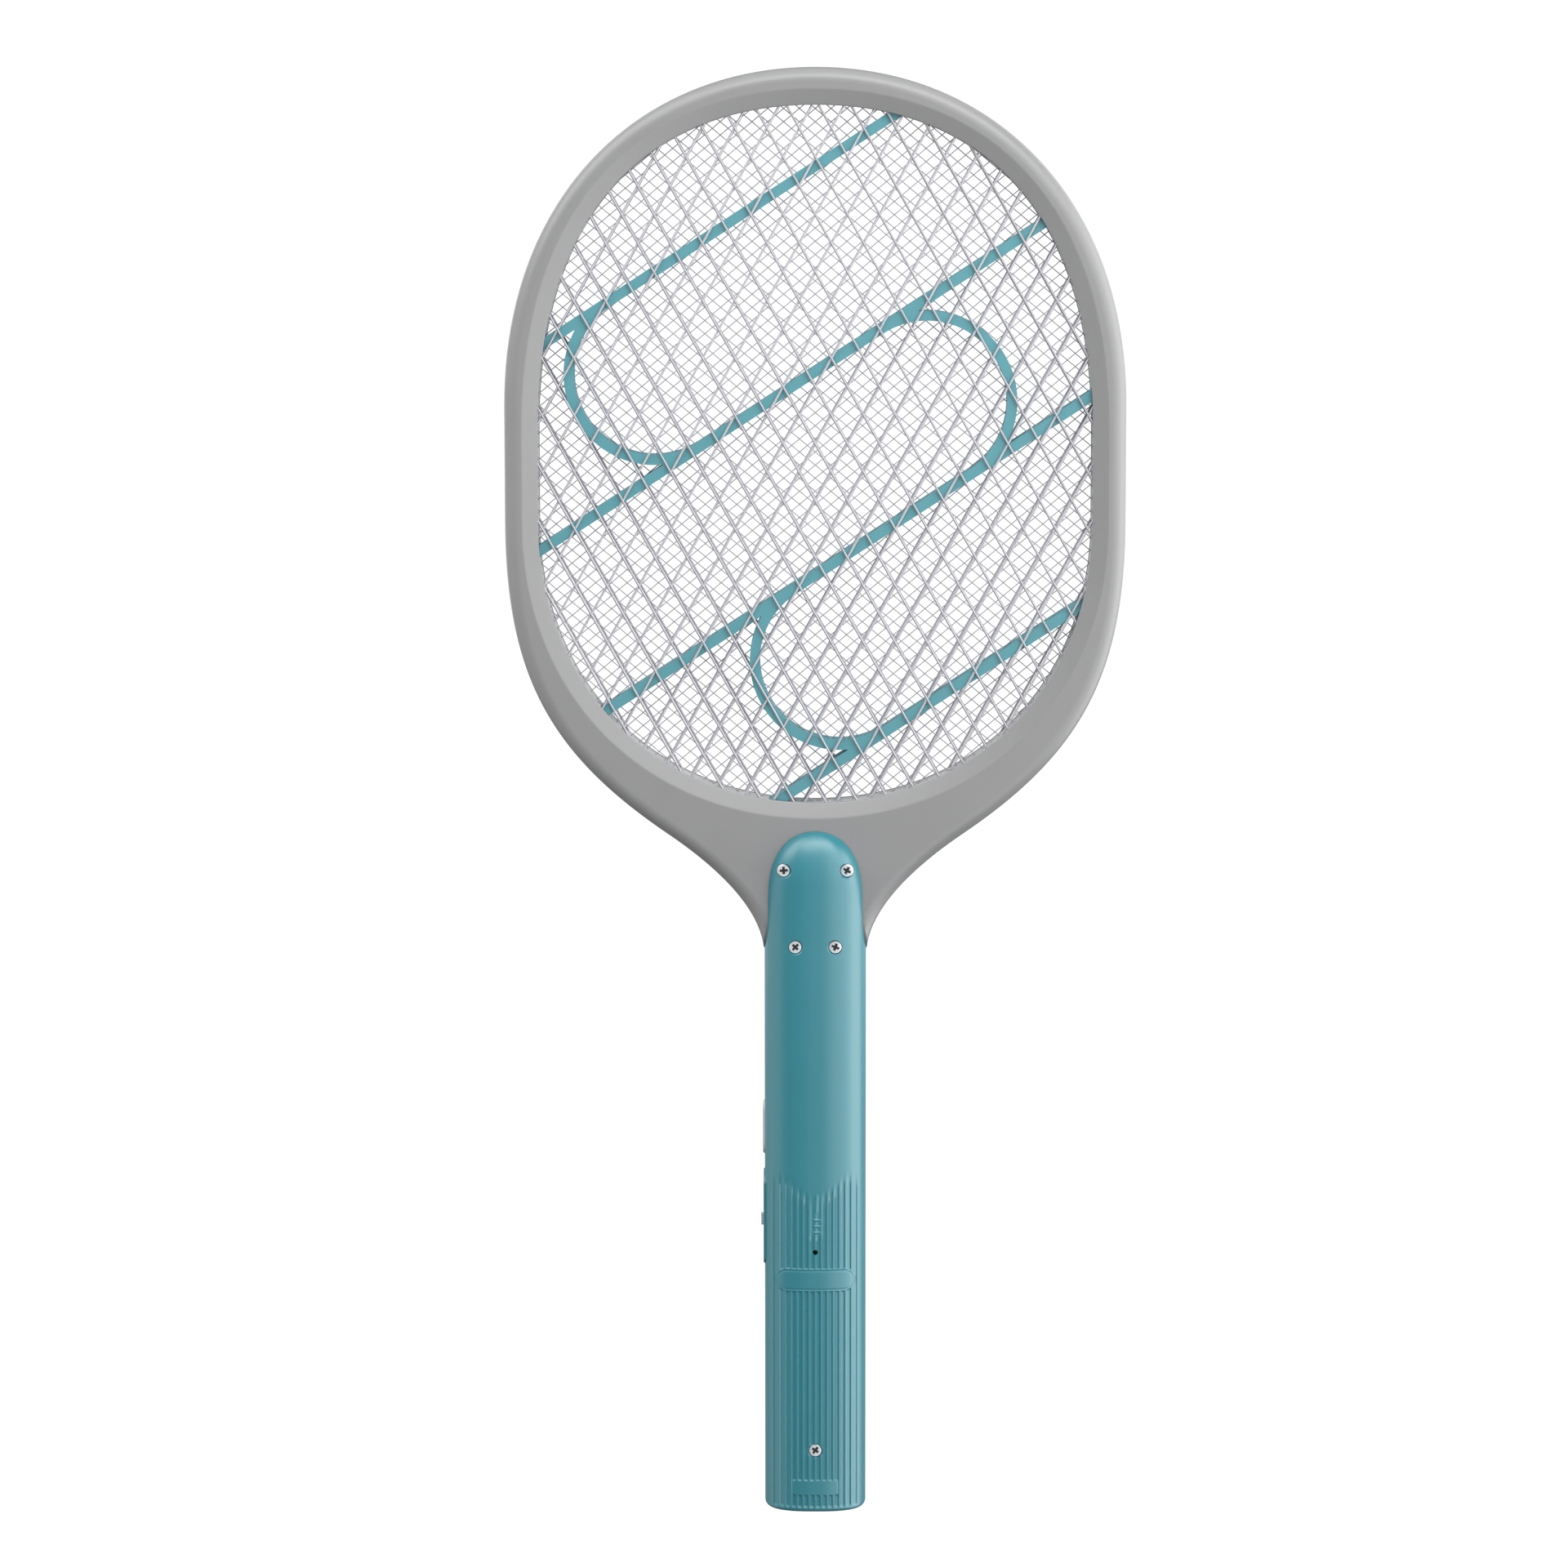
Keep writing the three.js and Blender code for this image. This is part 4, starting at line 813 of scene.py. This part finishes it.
def handle_seam_lips():
    """Strips in the rear shell's wall that almost reach the front shell.

    They keep light from showing through the seam.
    """
    outer, inner = HANDLE_HALF_WIDTH - LIP_INSET, HANDLE_HALF_WIDTH - HANDLE_WALL + 0.2
    back = -SPLIT_GAP - LIP_ROOT
    top = NECK_BOTTOM_Z + 2
    sides = [
        box((low, back, 1), (high, LIP_REACH, top))
        for low, high in ((-outer, -inner), (inner, outer))
    ]
    return [*sides, box((-outer, back, 0.9), (outer, LIP_REACH, END_WALL - 0.3))]


def handle_shell(side):
    posts = []
    for _, x, z in SCREW_PLACES:
        start = FRAME_HALF_DEPTH + CLEARANCE if z > BOSS_TOUCHES_NECK_Z else SPLIT_GAP
        posts.append(rod(BOSS_RADIUS, (x, side * start, z), (x, side * HANDLE_HALF_DEPTH, z)))
    hollow = cut(handle_inside(), *posts)
    shell = cut(handle_outside(), hollow)
    low, high = (-PAST_PART, -SPLIT_GAP) if side == REAR else (SPLIT_GAP, PAST_PART)
    keep_inside(shell, box((-PAST_PART, low, -1), (PAST_PART, high, TONGUE_TOP_Z + 1)))
    if side == REAR:
        add(shell, *handle_seam_lips())
    neck = side_slab(neck_room(CLEARANCE), -PAST_PART, PAST_PART)
    cuts = [neck, *screw_cuts(side), *control_cuts()]
    if side == REAR:
        hole = INDICATOR_RADIUS + 0.1
        cuts.append(rod(hole, (0, 0, PORT_Z), (0, -HANDLE_HALF_DEPTH - 1, PORT_Z)))
    return cut(shell, *cuts)


# ---------- head frame, carriers, ribs ----------


def neck_limits():
    wide = HEAD_HALF_WIDTH + 1
    room = side_slab(neck_room(0), -wide, wide)
    insert = box(
        (-INSERT_HALF_WIDTH, -FRAME_HALF_DEPTH, INSERT_BOTTOM_Z),
        (INSERT_HALF_WIDTH, FRAME_HALF_DEPTH, SHOULDER_Z),
    )
    return add(room, insert)


def frame_seam_lip():
    """A strip in the rear cover's wall that almost reaches the front cover."""
    outer, inner = inset(OUTER_LOOP, LIP_INSET), inset(OUTER_LOOP, FRAME_WALL - 0.3)
    back = -SPLIT_GAP - LIP_ROOT
    section = [(outer, LIP_REACH), (outer, back), (inner, back), (inner, LIP_REACH)]
    return ring([at_depth(loop, y) for loop, y in section])


def frame_cover(side):
    """One half of the head's grey ring: outer edge, rounded rim, bevel, lip and inner faces."""
    rounding = 4.6
    crest = 0.35
    flat = 0.25  # narrow flat rings that hold the shading of the rim's face
    section = [("edge", 0, SPLIT_GAP), ("edge", 0, SPLIT_GAP + 0.12), ("edge", 0, 2.2)]
    for i in range(10):
        angle = math.pi / 2 * i / 10
        less = rounding * (1 - math.cos(angle))
        section.append(("edge", less, FRAME_HALF_DEPTH - rounding * (1 - math.sin(angle))))
    section.append(("edge", rounding, FRAME_HALF_DEPTH))
    section.append(("edge", rounding + flat, FRAME_HALF_DEPTH))
    section.append(("mouth", BEVEL_WIDTH + crest + flat, FRAME_HALF_DEPTH))
    section.append(("mouth", BEVEL_WIDTH + crest, FRAME_HALF_DEPTH))
    section.append(("mouth", BEVEL_WIDTH, FRAME_HALF_DEPTH - 0.05))
    section.append(("mouth", BEVEL_WIDTH - crest, FRAME_HALF_DEPTH - 0.2))
    section.append(("mouth", 0.35, LIP_OUTER_Y + 0.13))
    section.append(("mouth", 0.08, LIP_OUTER_Y - 0.05))
    section.append(("mouth", 0, LIP_OUTER_Y - 0.25))
    section.append(("mouth", 0, LIP_INNER_Y))
    section.append(("edge", FRAME_WALL, LIP_INNER_Y))
    section.append(("edge", FRAME_WALL, SPLIT_GAP))
    loops = []
    for kind, distance, y in section:
        loop = inset(OUTER_LOOP, distance) if kind == "edge" else opening_grown(distance)
        loops.append(at_depth(loop, side * y))
    cover = ring(loops)
    if side == REAR:
        add(cover, frame_seam_lip())
    keep_inside(cover, neck_limits())
    holes = [
        rod(SCREW_SHANK_RADIUS + CLEARANCE, (x, -20, z), (x, 20, z))
        for _, x, z in SCREW_PLACES
        if z > BOSS_TOUCHES_NECK_Z
    ]
    slot = box((-6, -5, INSERT_BOTTOM_Z - 1), (6, 5, INSERT_BOTTOM_Z + 2 * FRAME_WALL))
    return cut(cover, *holes, slot)


def along_runs(along, across):
    """A point given along and across the ribs' straight runs, as x and z."""
    c, s = math.cos(RIB_ANGLE), math.sin(RIB_ANGLE)
    return Vector((along * c - across * s, RIB_MIDDLE_Z + along * s + across * c))


RUN_OFFSETS = [share * RIB_PITCH for share in (1.5, 0.5, -0.5, -1.5)]


def rib_run(across, width, low, high):
    reach = HEAD_HALF_WIDTH + 30
    half = width / 2
    corners = [(-reach, -half), (reach, -half), (reach, half), (-reach, half)]
    outline = [along_runs(a, across + b) for a, b in corners]
    return slab([(p.x, p.y) for p in outline], low, high)


def rib_turn(index, low, high):
    middle = along_runs(RIB_TURNS[index], (RUN_OFFSETS[index] + RUN_OFFSETS[index + 1]) / 2)
    start = RIB_ANGLE + (math.pi / 2 if index % 2 == 0 else -math.pi / 2)
    steps = 48
    outline = []
    for radius, order in (
        (RIB_PITCH / 2 + RIB_WIDTH / 2, range(steps + 1)),
        (RIB_PITCH / 2 - RIB_WIDTH / 2, range(steps, -1, -1)),
    ):
        for i in order:
            angle = start + math.pi * i / steps
            x = middle.x + radius * math.cos(angle)
            outline.append((x, middle.y + radius * math.sin(angle)))
    return slab(outline, low, high)


def opening_slab(distance, low, high):
    return slab([(p.x, p.y) for p in inset(OPENING_LOOP, -distance)], low, high)


def ribs(side):
    low, high = sorted((side * CARRIER_BOTTOM_Y, side * CARRIER_TOP_Y))
    runs = [rib_run(across, RIB_WIDTH, low, high) for across in RUN_OFFSETS]
    turns = [rib_turn(index, low, high) for index in range(3)]
    whole = add(runs[0], *runs[1:], *turns)
    keep_inside(whole, opening_slab(RIB_POCKET, low - 1, high + 1))
    return round_edges(whole, 0.28)


def carrier(side):
    edge = 0.25
    section = [
        (CARRIER_INNER + edge, CARRIER_BOTTOM_Y),
        (CARRIER_OUTER, CARRIER_BOTTOM_Y),
        (CARRIER_OUTER, CARRIER_LOOK_TOP_Y),
        (CARRIER_INNER + edge, CARRIER_LOOK_TOP_Y),
        (CARRIER_INNER, CARRIER_LOOK_TOP_Y - edge),
        (CARRIER_INNER, CARRIER_BOTTOM_Y + edge),
    ]
    band = ring([at_depth(opening_grown(distance), side * y) for distance, y in section])
    low, high = sorted((side * (CARRIER_BOTTOM_Y - 1), side * (CARRIER_TOP_Y + 1)))
    runs = [rib_run(across, RIB_WIDTH + 2 * CLEARANCE, low, high) for across in RUN_OFFSETS]
    pockets = keep_inside(add(runs[0], *runs[1:]), opening_slab(RIB_POCKET + CLEARANCE, low, high))
    return cut(band, pockets)


# ---------- nets ----------


def span_inside(origin, direction, loop):
    """The stretch of a line that lies inside a convex loop, as two distances along it."""
    hits = []
    for a, b in zip(loop, loop[1:] + loop[:1]):
        edge = b - a
        cross = direction.x * edge.y - direction.y * edge.x
        if abs(cross) < 1e-9:
            continue
        offset = a - origin
        along = (offset.x * edge.y - offset.y * edge.x) / cross
        share = (offset.x * direction.y - offset.y * direction.x) / cross
        if 0 <= share < 1:
            hits.append(along)
    return (min(hits), max(hits)) if len(hits) > 1 else None


def wire_tube(points, radius, sides):
    """Points and faces of one wire along points, with closed ends."""
    start, end = Vector(points[0]), Vector(points[-1])
    turn = (end - start).to_track_quat("Z", "Y").to_matrix()
    vertices = []
    for point in points:
        for i in range(sides):
            angle = 2 * math.pi * (i + 0.5) / sides
            offset = turn @ Vector((radius * math.cos(angle), radius * math.sin(angle), 0))
            vertices.append(tuple(Vector(point) + offset))
    faces = skin([range(sides)] * len(points), False)
    faces.append(tuple(reversed(range(sides))))
    faces.append(tuple(range(len(vertices) - sides, len(vertices))))
    return vertices, faces


def net(name, cell_width, cell_height, wire, middle_y, layer, weave, sides):
    """A lattice of wires at their true pitch.

    One direction lies a layer over the other, or they weave over and under at each crossing.
    """
    edge = inset(OPENING_LOOP, -NET_EDGE)
    half_step = Vector((cell_width / 2, cell_height / 2)).length
    rows = int(2 * OPENING_HALF_WIDTH / cell_width) + int(260 / cell_height) + 4
    all_points, all_faces = [], []
    for lean in (1, -1):
        direction = Vector((lean * cell_width, cell_height)).normalized()
        for k in range(-rows, rows + 1):
            origin = Vector((k * cell_width, NET_ROW_Z))
            span = span_inside(origin, direction, edge)
            if span is None or span[1] - span[0] < 2:
                continue
            low, high = span
            stops = [low]
            crossing = math.ceil(low / half_step)
            while crossing * half_step < high:
                if crossing * half_step > low:
                    stops.append(crossing * half_step)
                crossing += 1
            stops.append(high)
            points = []
            for stop in stops:
                place = origin + direction * stop
                wave = 0
                if weave:
                    parity = (k + round(stop / half_step)) % 2
                    wave = weave * lean * (1 if parity else -1)
                points.append((place.x, middle_y + lean * layer + wave, place.y))
            vertices, faces = wire_tube(points, wire / 2, sides)
            base = len(all_points)
            all_points += vertices
            all_faces += [tuple(base + i for i in face) for face in faces]
    return new_object(name, all_points, all_faces)


# ---------- controls ----------

SURFACE_X = -HANDLE_HALF_WIDTH
WALL_INNER_X = -(HANDLE_HALF_WIDTH - HANDLE_WALL)
PLATE_FLANGE_X = WALL_INNER_X + CLEARANCE + 0.4
KNOB_FOOT_X = PLATE_FLANGE_X + FLANGE + CLEARANCE
FIRE_FLANGE_X = WALL_INNER_X + 0.8


def domed(outline_of, face_x, back_x, rounding, steps=6, dish=0.0):
    """A key with a rounded front edge: outline_of(inset) gives its outline at each inset."""
    loops = [[(back_x, y, z) for y, z in outline_of(0)]]
    for i in range(steps + 1):
        angle = math.pi / 2 * i / steps
        less = rounding * (1 - math.cos(angle))
        x = face_x + rounding * (1 - math.sin(angle))
        loops.append([(x, y, z) for y, z in outline_of(less)])
    for i in range(1, 5):
        less = rounding + i * 0.6
        loops.append([(face_x + dish * (i / 4) ** 2, y, z) for y, z in outline_of(less)])
    return loft(loops)


def plate_outline(less):
    """The switch plate's outline in y and z: small corners below, an arched top."""
    half = PLATE_HALF_DEPTH - less
    low, high = PLATE_BOTTOM_Z + less, PLATE_TOP_Z - less
    corner = max(2.5 - less, 0.3)
    steps = 8

    def arc(centre_y, start):
        angles = [start + math.pi / 2 * i / steps for i in range(steps + 1)]
        return [
            (centre_y + corner * math.cos(angle), low + corner + corner * math.sin(angle))
            for angle in angles
        ]

    taper = 5
    crown = []
    for i in range(2 * steps + 1):
        share = i / steps - 1
        rise = 1 - abs(share) ** 2.4
        crown.append((-half * share, high - taper + taper * rise))
    return arc(half - corner, -math.pi / 2) + crown + arc(-half + corner, math.pi)


def switch_plate():
    front = domed(plate_outline, SURFACE_X - PLATE_PROUD, PLATE_FLANGE_X + 0.1, 0.4)
    half = PLATE_HALF_DEPTH
    flange = box(
        (PLATE_FLANGE_X, -half + 1, PLATE_BOTTOM_Z - 1.2),
        (PLATE_FLANGE_X + FLANGE, half - 1, PLATE_TOP_Z + 1.2),
    )
    add(front, flange)
    out = SURFACE_X - 5
    inlet = stadium(PORT_Z, PORT_HEIGHT + 2 * CLEARANCE, PORT_DEPTH / 2 + CLEARANCE)
    port = side_slab(inlet, out, -10)
    slot_low = KNOB_Z - KNOB_LENGTH / 2 - CLEARANCE
    slot_high = KNOB_Z + KNOB_LENGTH / 2 + KNOB_TRAVEL + CLEARANCE
    slot_half = KNOB_HALF_DEPTH + CLEARANCE
    slot = box((out, -slot_half, slot_low), (-10, slot_half, slot_high))
    well_x = SURFACE_X - PLATE_PROUD + 0.35
    well = side_slab(stadium((slot_low + slot_high) / 2, 12.6, 3.1), out, well_x)
    return round_edges(cut(front, port, slot, well), 0.14, angle=50)


def slide_knob():
    half, deep = KNOB_LENGTH / 2, KNOB_HALF_DEPTH
    tip = SURFACE_X - KNOB_PROUD
    stem = box((tip, -deep, KNOB_Z - half), (KNOB_FOOT_X + 0.2, deep, KNOB_Z + half))
    foot = box(
        (KNOB_FOOT_X, -deep - 1, KNOB_Z - half - 0.6),
        (KNOB_FOOT_X + 0.8, deep + 1, KNOB_Z + half + 0.6),
    )
    notches = [
        box((tip - 1, -deep - 1, KNOB_Z + at - 0.22), (tip + 0.4, deep + 1, KNOB_Z + at + 0.22))
        for at in (-1.1, 0, 1.1)
    ]
    return round_edges(cut(add(stem, foot), *notches), 0.12, angle=50)


def fire_button():
    def outline_of(less):
        return stadium(FIRE_Z, FIRE_LENGTH - 2 * less, FIRE_HALF_DEPTH - less)

    cap = domed(outline_of, SURFACE_X - FIRE_PROUD, FIRE_FLANGE_X + 0.1, 0.9, dish=0.35)
    flange = stadium(FIRE_Z, FIRE_LENGTH + 1.6, FIRE_HALF_DEPTH + 0.8)
    return add(cap, side_slab(flange, FIRE_FLANGE_X, FIRE_FLANGE_X + FLANGE))


def port_sleeve():
    mouth = SURFACE_X + 0.4
    length = 7.2
    sleeve = side_slab(stadium(PORT_Z, PORT_HEIGHT, PORT_DEPTH / 2), mouth, mouth + length)
    room = stadium(PORT_Z, PORT_HEIGHT - 0.6, PORT_DEPTH / 2 - 0.3)
    cavity = side_slab(room, mouth - 1, mouth + length - 1.2)
    return round_edges(cut(sleeve, cavity), 0.08, angle=50)


def port_tongue():
    mouth = SURFACE_X + 0.4
    tongue = box((mouth + 0.8, -0.35, PORT_Z - 3.3), (mouth + 5.9, 0.35, PORT_Z + 3.3))
    return round_edges(tongue, 0.1)


def port_contacts():
    mouth = SURFACE_X + 0.4
    strips = []
    for i in range(12):
        z = PORT_Z + (i - 5.5) * 0.5
        strips.append(box((mouth + 1.2, -0.39, z - 0.12), (mouth + 5, 0.39, z + 0.12)))
    return add(strips[0], *strips[1:])


# ---------- screws ----------


def recess_turn(x, z):
    """Each screw's own angle."""
    return Matrix.Rotation(math.radians(RECESS_DEGREES_PER_MM * (x + z)), 4, "Y")


def recess_shadow(x, z):
    """A black cross at the bottom of a screw's cross recess: painted shade, standing in for the
    recess's shadow.
    """
    top = -(screw_seat(x, z) - 0.1 + SCREW_HEAD_HEIGHT) + 0.3
    reach, half = RECESS_REACH * 0.8, RECESS_HALF_WIDTH * 0.75
    across = box((-reach, top, -half), (reach, top + 0.8, half))
    upright = box((-half, top, -reach), (half, top + 0.8, reach))
    cross = add(across, upright)
    cross.data.transform(recess_turn(x, z))
    return along_y(cross, x, z)


def screw(x, z):
    """A pan-head screw with a cross recess, turned to its own angle."""
    seat = screw_seat(x, z) - 0.1
    top = seat + SCREW_HEAD_HEIGHT
    flat = SCREW_LOOK_RADIUS * 0.84
    shoulder = SCREW_LOOK_RADIUS - flat
    profile = [(0, -top), (flat * 0.5, -top), (flat, -top)]
    for i in range(1, 9):
        angle = math.pi / 2 * i / 8
        profile.append((flat + shoulder * math.sin(angle), -top + 0.7 * (1 - math.cos(angle))))
    profile += [(SCREW_LOOK_RADIUS, -seat - 0.3), (SCREW_SHANK_RADIUS, -seat - 0.3)]
    profile += [(SCREW_SHANK_RADIUS, seat - 1), (0.3, seat), (0, seat)]
    body = turned(profile, 48)
    turn = recess_turn(x, z)
    blades = []
    for wide, tall in ((RECESS_REACH, RECESS_HALF_WIDTH), (RECESS_HALF_WIDTH, RECESS_REACH)):
        outer = [(-wide, -tall), (wide, -tall), (wide, tall), (-wide, tall)]
        inner = [(a * 0.35, b * 0.6) for a, b in outer]
        mouth = [(a, -top - 0.2, b) for a, b in outer]
        bottom = [(a, -top + RECESS_DEPTH, b) for a, b in inner]
        blades.append(loft([mouth, bottom]))
    core = turned([(0, -top - 0.2), (0.85, -top - 0.2), (0.3, -top + 1.4), (0, -top + 1.4)], 24)
    recess = add(blades[0], blades[1], core)
    recess.data.transform(turn)
    return along_y(cut(body, recess), x, z)


# ---------- build every visible piece ----------

finish_piece(handle_shell(REAR), "handle_rear_look", TEAL, ["handle_rear_shell"])
finish_piece(handle_shell(FRONT), "handle_front_look", TEAL, ["handle_front_shell"])
finish_piece(frame_cover(REAR), "frame_rear_look", GREY, ["frame_rear"], angle=28)
finish_piece(frame_cover(FRONT), "frame_front_look", GREY, ["frame_front"], angle=28)
for side_name, side_sign in (("rear", REAR), ("front", FRONT)):
    carrier_nodes, rib_nodes = [f"net_carrier_{side_name}"], [f"rib_insert_{side_name}"]
    finish_piece(carrier(side_sign), f"carrier_{side_name}_look", PALE_GREY, carrier_nodes)
    finish_piece(ribs(side_sign), f"ribs_{side_name}_look", TEAL_RIB, rib_nodes)
    net_y = side_sign * OUTER_NET_Y
    coarse = net("coarse", OUTER_CELL_WIDTH, OUTER_CELL_HEIGHT, OUTER_WIRE, net_y, 0.2, 0, 10)
    finish_piece(coarse, f"net_{side_name}_look", WIRE, [f"net_{side_name}"], angle=60)
fine = net("fine", INNER_CELL_WIDTH, INNER_CELL_HEIGHT, INNER_WIRE, 0, 0, 0.12, 6)
finish_piece(fine, "net_inner_look", MESH_WIRE, ["net_inner"], angle=80)

finish_piece(switch_plate(), "switch_plate_look", TEAL, ["switch_plate"])
for make_key, key_name in ((slide_knob, "slide_knob"), (fire_button, "fire_button")):
    finish_piece(make_key(), key_name + "_look", PALE, [key_name], body=key_name)
finish_piece(port_sleeve(), "port_sleeve_look", STEEL, ["charging_port"])
finish_piece(port_tongue(), "port_tongue_look", BLACK, [])
finish_piece(port_contacts(), "port_contacts_look", BRASS, [])
for screw_name, screw_x, screw_z in SCREW_PLACES:
    # Painted shade: a black cross is set into each screw's recess to darken it.
    shadow_name = screw_name + "_recess_painted_shade_look"
    finish_piece(screw(screw_x, screw_z), screw_name + "_look", SCREW_STEEL, [screw_name])
    finish_piece(recess_shadow(screw_x, screw_z), shadow_name, BLACK, [])

pipe_face = -surface_depth(0, PORT_Z) + 0.7
pipe = turned(
    [
        (0, pipe_face),
        (INDICATOR_RADIUS * 0.7, pipe_face + 0.02),
        (INDICATOR_RADIUS, pipe_face + 0.2),
        (INDICATOR_RADIUS, -14.05),
        (1.6, -14.05),
        (1.6, -6.4),
        (0, -6.4),
    ],
    32,
)
along_y(pipe, 0, PORT_Z)
finish_piece(pipe, "light_pipe_look", SMOKED, ["indicator_light_pipe"])

# ---------- stage, light, camera ----------

FLOOR_RADIUS = 650
FLOOR_SIDES = 96
FLOOR_Z = -0.05
FLOOR_GLOW = 0.95  # what the camera sees
WORLD_FILL = 0.35  # what lights the object
WORLD_SEEN = 1.05  # what the camera sees
LIGHTS_AIM = Vector((0, 0, 0.25))
CAMERA_DEGREES_UP = 7
CAMERA_DISTANCE = 1.809
CAMERA_AIM = Vector((0, 0, 0.2541))


def stage_floor():
    """A pale disc. The swatter's gloss doesn't mirror it, so it hides no softbox."""
    points = [(0, 0, FLOOR_Z)]
    for i in range(FLOOR_SIDES):
        angle = 2 * math.pi * i / FLOOR_SIDES
        points.append((FLOOR_RADIUS * math.cos(angle), FLOOR_RADIUS * math.sin(angle), FLOOR_Z))
    faces = [(0, 1 + i, 1 + (i + 1) % FLOOR_SIDES) for i in range(FLOOR_SIDES)]
    floor = new_object("studio_floor", points, faces)
    material, shader, tree = new_material("studio_floor_white")
    shader.inputs["Base Color"].default_value = (0.15, 0.15, 0.15, 1)
    shader.inputs["Roughness"].default_value = 0.95
    shader.inputs["Specular IOR Level"].default_value = 0
    shader.inputs["Emission Color"].default_value = (1, 1, 1, 1)
    path = tree.nodes.new("ShaderNodeLightPath")
    glow = tree.nodes.new("ShaderNodeMapRange")
    glow.inputs["To Min"].default_value = 0
    glow.inputs["To Max"].default_value = FLOOR_GLOW
    tree.links.new(path.outputs["Is Camera Ray"], glow.inputs["Value"])
    tree.links.new(glow.outputs["Result"], shader.inputs["Emission Strength"])
    floor.data.materials.append(material)
    floor.visible_glossy = False


def stage_world():
    """White all round. The camera sees it full white; it lights the object more softly."""
    world = bpy.data.worlds.new("studio_world")
    bpy.context.scene.world = world
    world.use_nodes = True
    nodes, links = world.node_tree.nodes, world.node_tree.links
    background = nodes["Background"]
    background.inputs["Color"].default_value = (1, 1, 1, 1)
    path = nodes.new("ShaderNodeLightPath")
    strength = nodes.new("ShaderNodeMapRange")
    strength.inputs["To Min"].default_value = WORLD_FILL
    strength.inputs["To Max"].default_value = WORLD_SEEN
    links.new(path.outputs["Is Camera Ray"], strength.inputs["Value"])
    links.new(strength.outputs["Result"], background.inputs["Strength"])


# Name, azimuth from the camera's side towards +X, elevation, distance in metres,
# width and height in metres, radiance.
SOFTBOXES = (
    ("softbox_right_front", 22, -3, 1.75, (0.85, 2.6), 1.2),
    ("softbox_right", 50, -3, 1.75, (0.85, 2.6), 1.6),
    ("softbox_right_side", 78, -3, 1.75, (0.85, 2.6), 2.7),
    ("softbox_right_back", 106, -3, 1.75, (0.85, 2.6), 2.2),
    ("softbox_left_side", -90, -3, 1.75, (2.3, 2.6), 0.45),
    ("softbox_left_high", -70, 45, 1.8, (1.6, 1.3), 2.2),
    ("softbox_top_front", 15, 50, 1.9, (2.0, 0.9), 3.2),
    ("softbox_top", 0, 85, 1.6, (1.6, 1.6), 0.6),
    ("softbox_back_right", 145, 15, 2.0, (1.2, 1.8), 1.2),
    ("softbox_back_left", -145, 15, 2.0, (1.2, 1.8), 1.2),
)


def softbox(name, azimuth, elevation, reach, size, radiance):
    """A rectangular white panel that faces the swatter's middle. Azimuth 0 is the rear, -Y."""
    light = bpy.data.lights.new(name, "AREA")
    light.shape = "RECTANGLE"
    light.size, light.size_y = size
    light.energy = radiance * math.pi * size[0] * size[1]
    around, up = math.radians(azimuth), math.radians(elevation)
    level = math.cos(up)
    away = Vector((math.sin(around) * level, -math.cos(around) * level, math.sin(up)))
    holder = bpy.data.objects.new(name, light)
    holder.location = LIGHTS_AIM + away * reach
    holder.rotation_mode = "QUATERNION"
    holder.rotation_quaternion = (-away).to_track_quat("-Z", "Y")
    bpy.context.scene.collection.objects.link(holder)


def stage_camera():
    """On the screw side, a little above the swatter's middle, as in the photograph."""
    elevation = math.radians(CAMERA_DEGREES_UP)
    away = Vector((0, -math.cos(elevation), math.sin(elevation)))
    data = bpy.data.cameras.new("camera")
    data.sensor_width = 36
    data.lens = 120
    data.shift_x = -0.01995
    camera = bpy.data.objects.new("camera", data)
    camera.location = CAMERA_AIM + away * CAMERA_DISTANCE
    camera.rotation_mode = "QUATERNION"
    camera.rotation_quaternion = (-away).to_track_quat("-Z", "Y")
    bpy.context.scene.collection.objects.link(camera)
    bpy.context.scene.camera = camera


stage_floor()
stage_world()
for panel in SOFTBOXES:
    softbox(*panel)
stage_camera()
bpy.context.scene.view_settings.view_transform = "Standard"
bpy.context.scene.view_settings.look = "None"
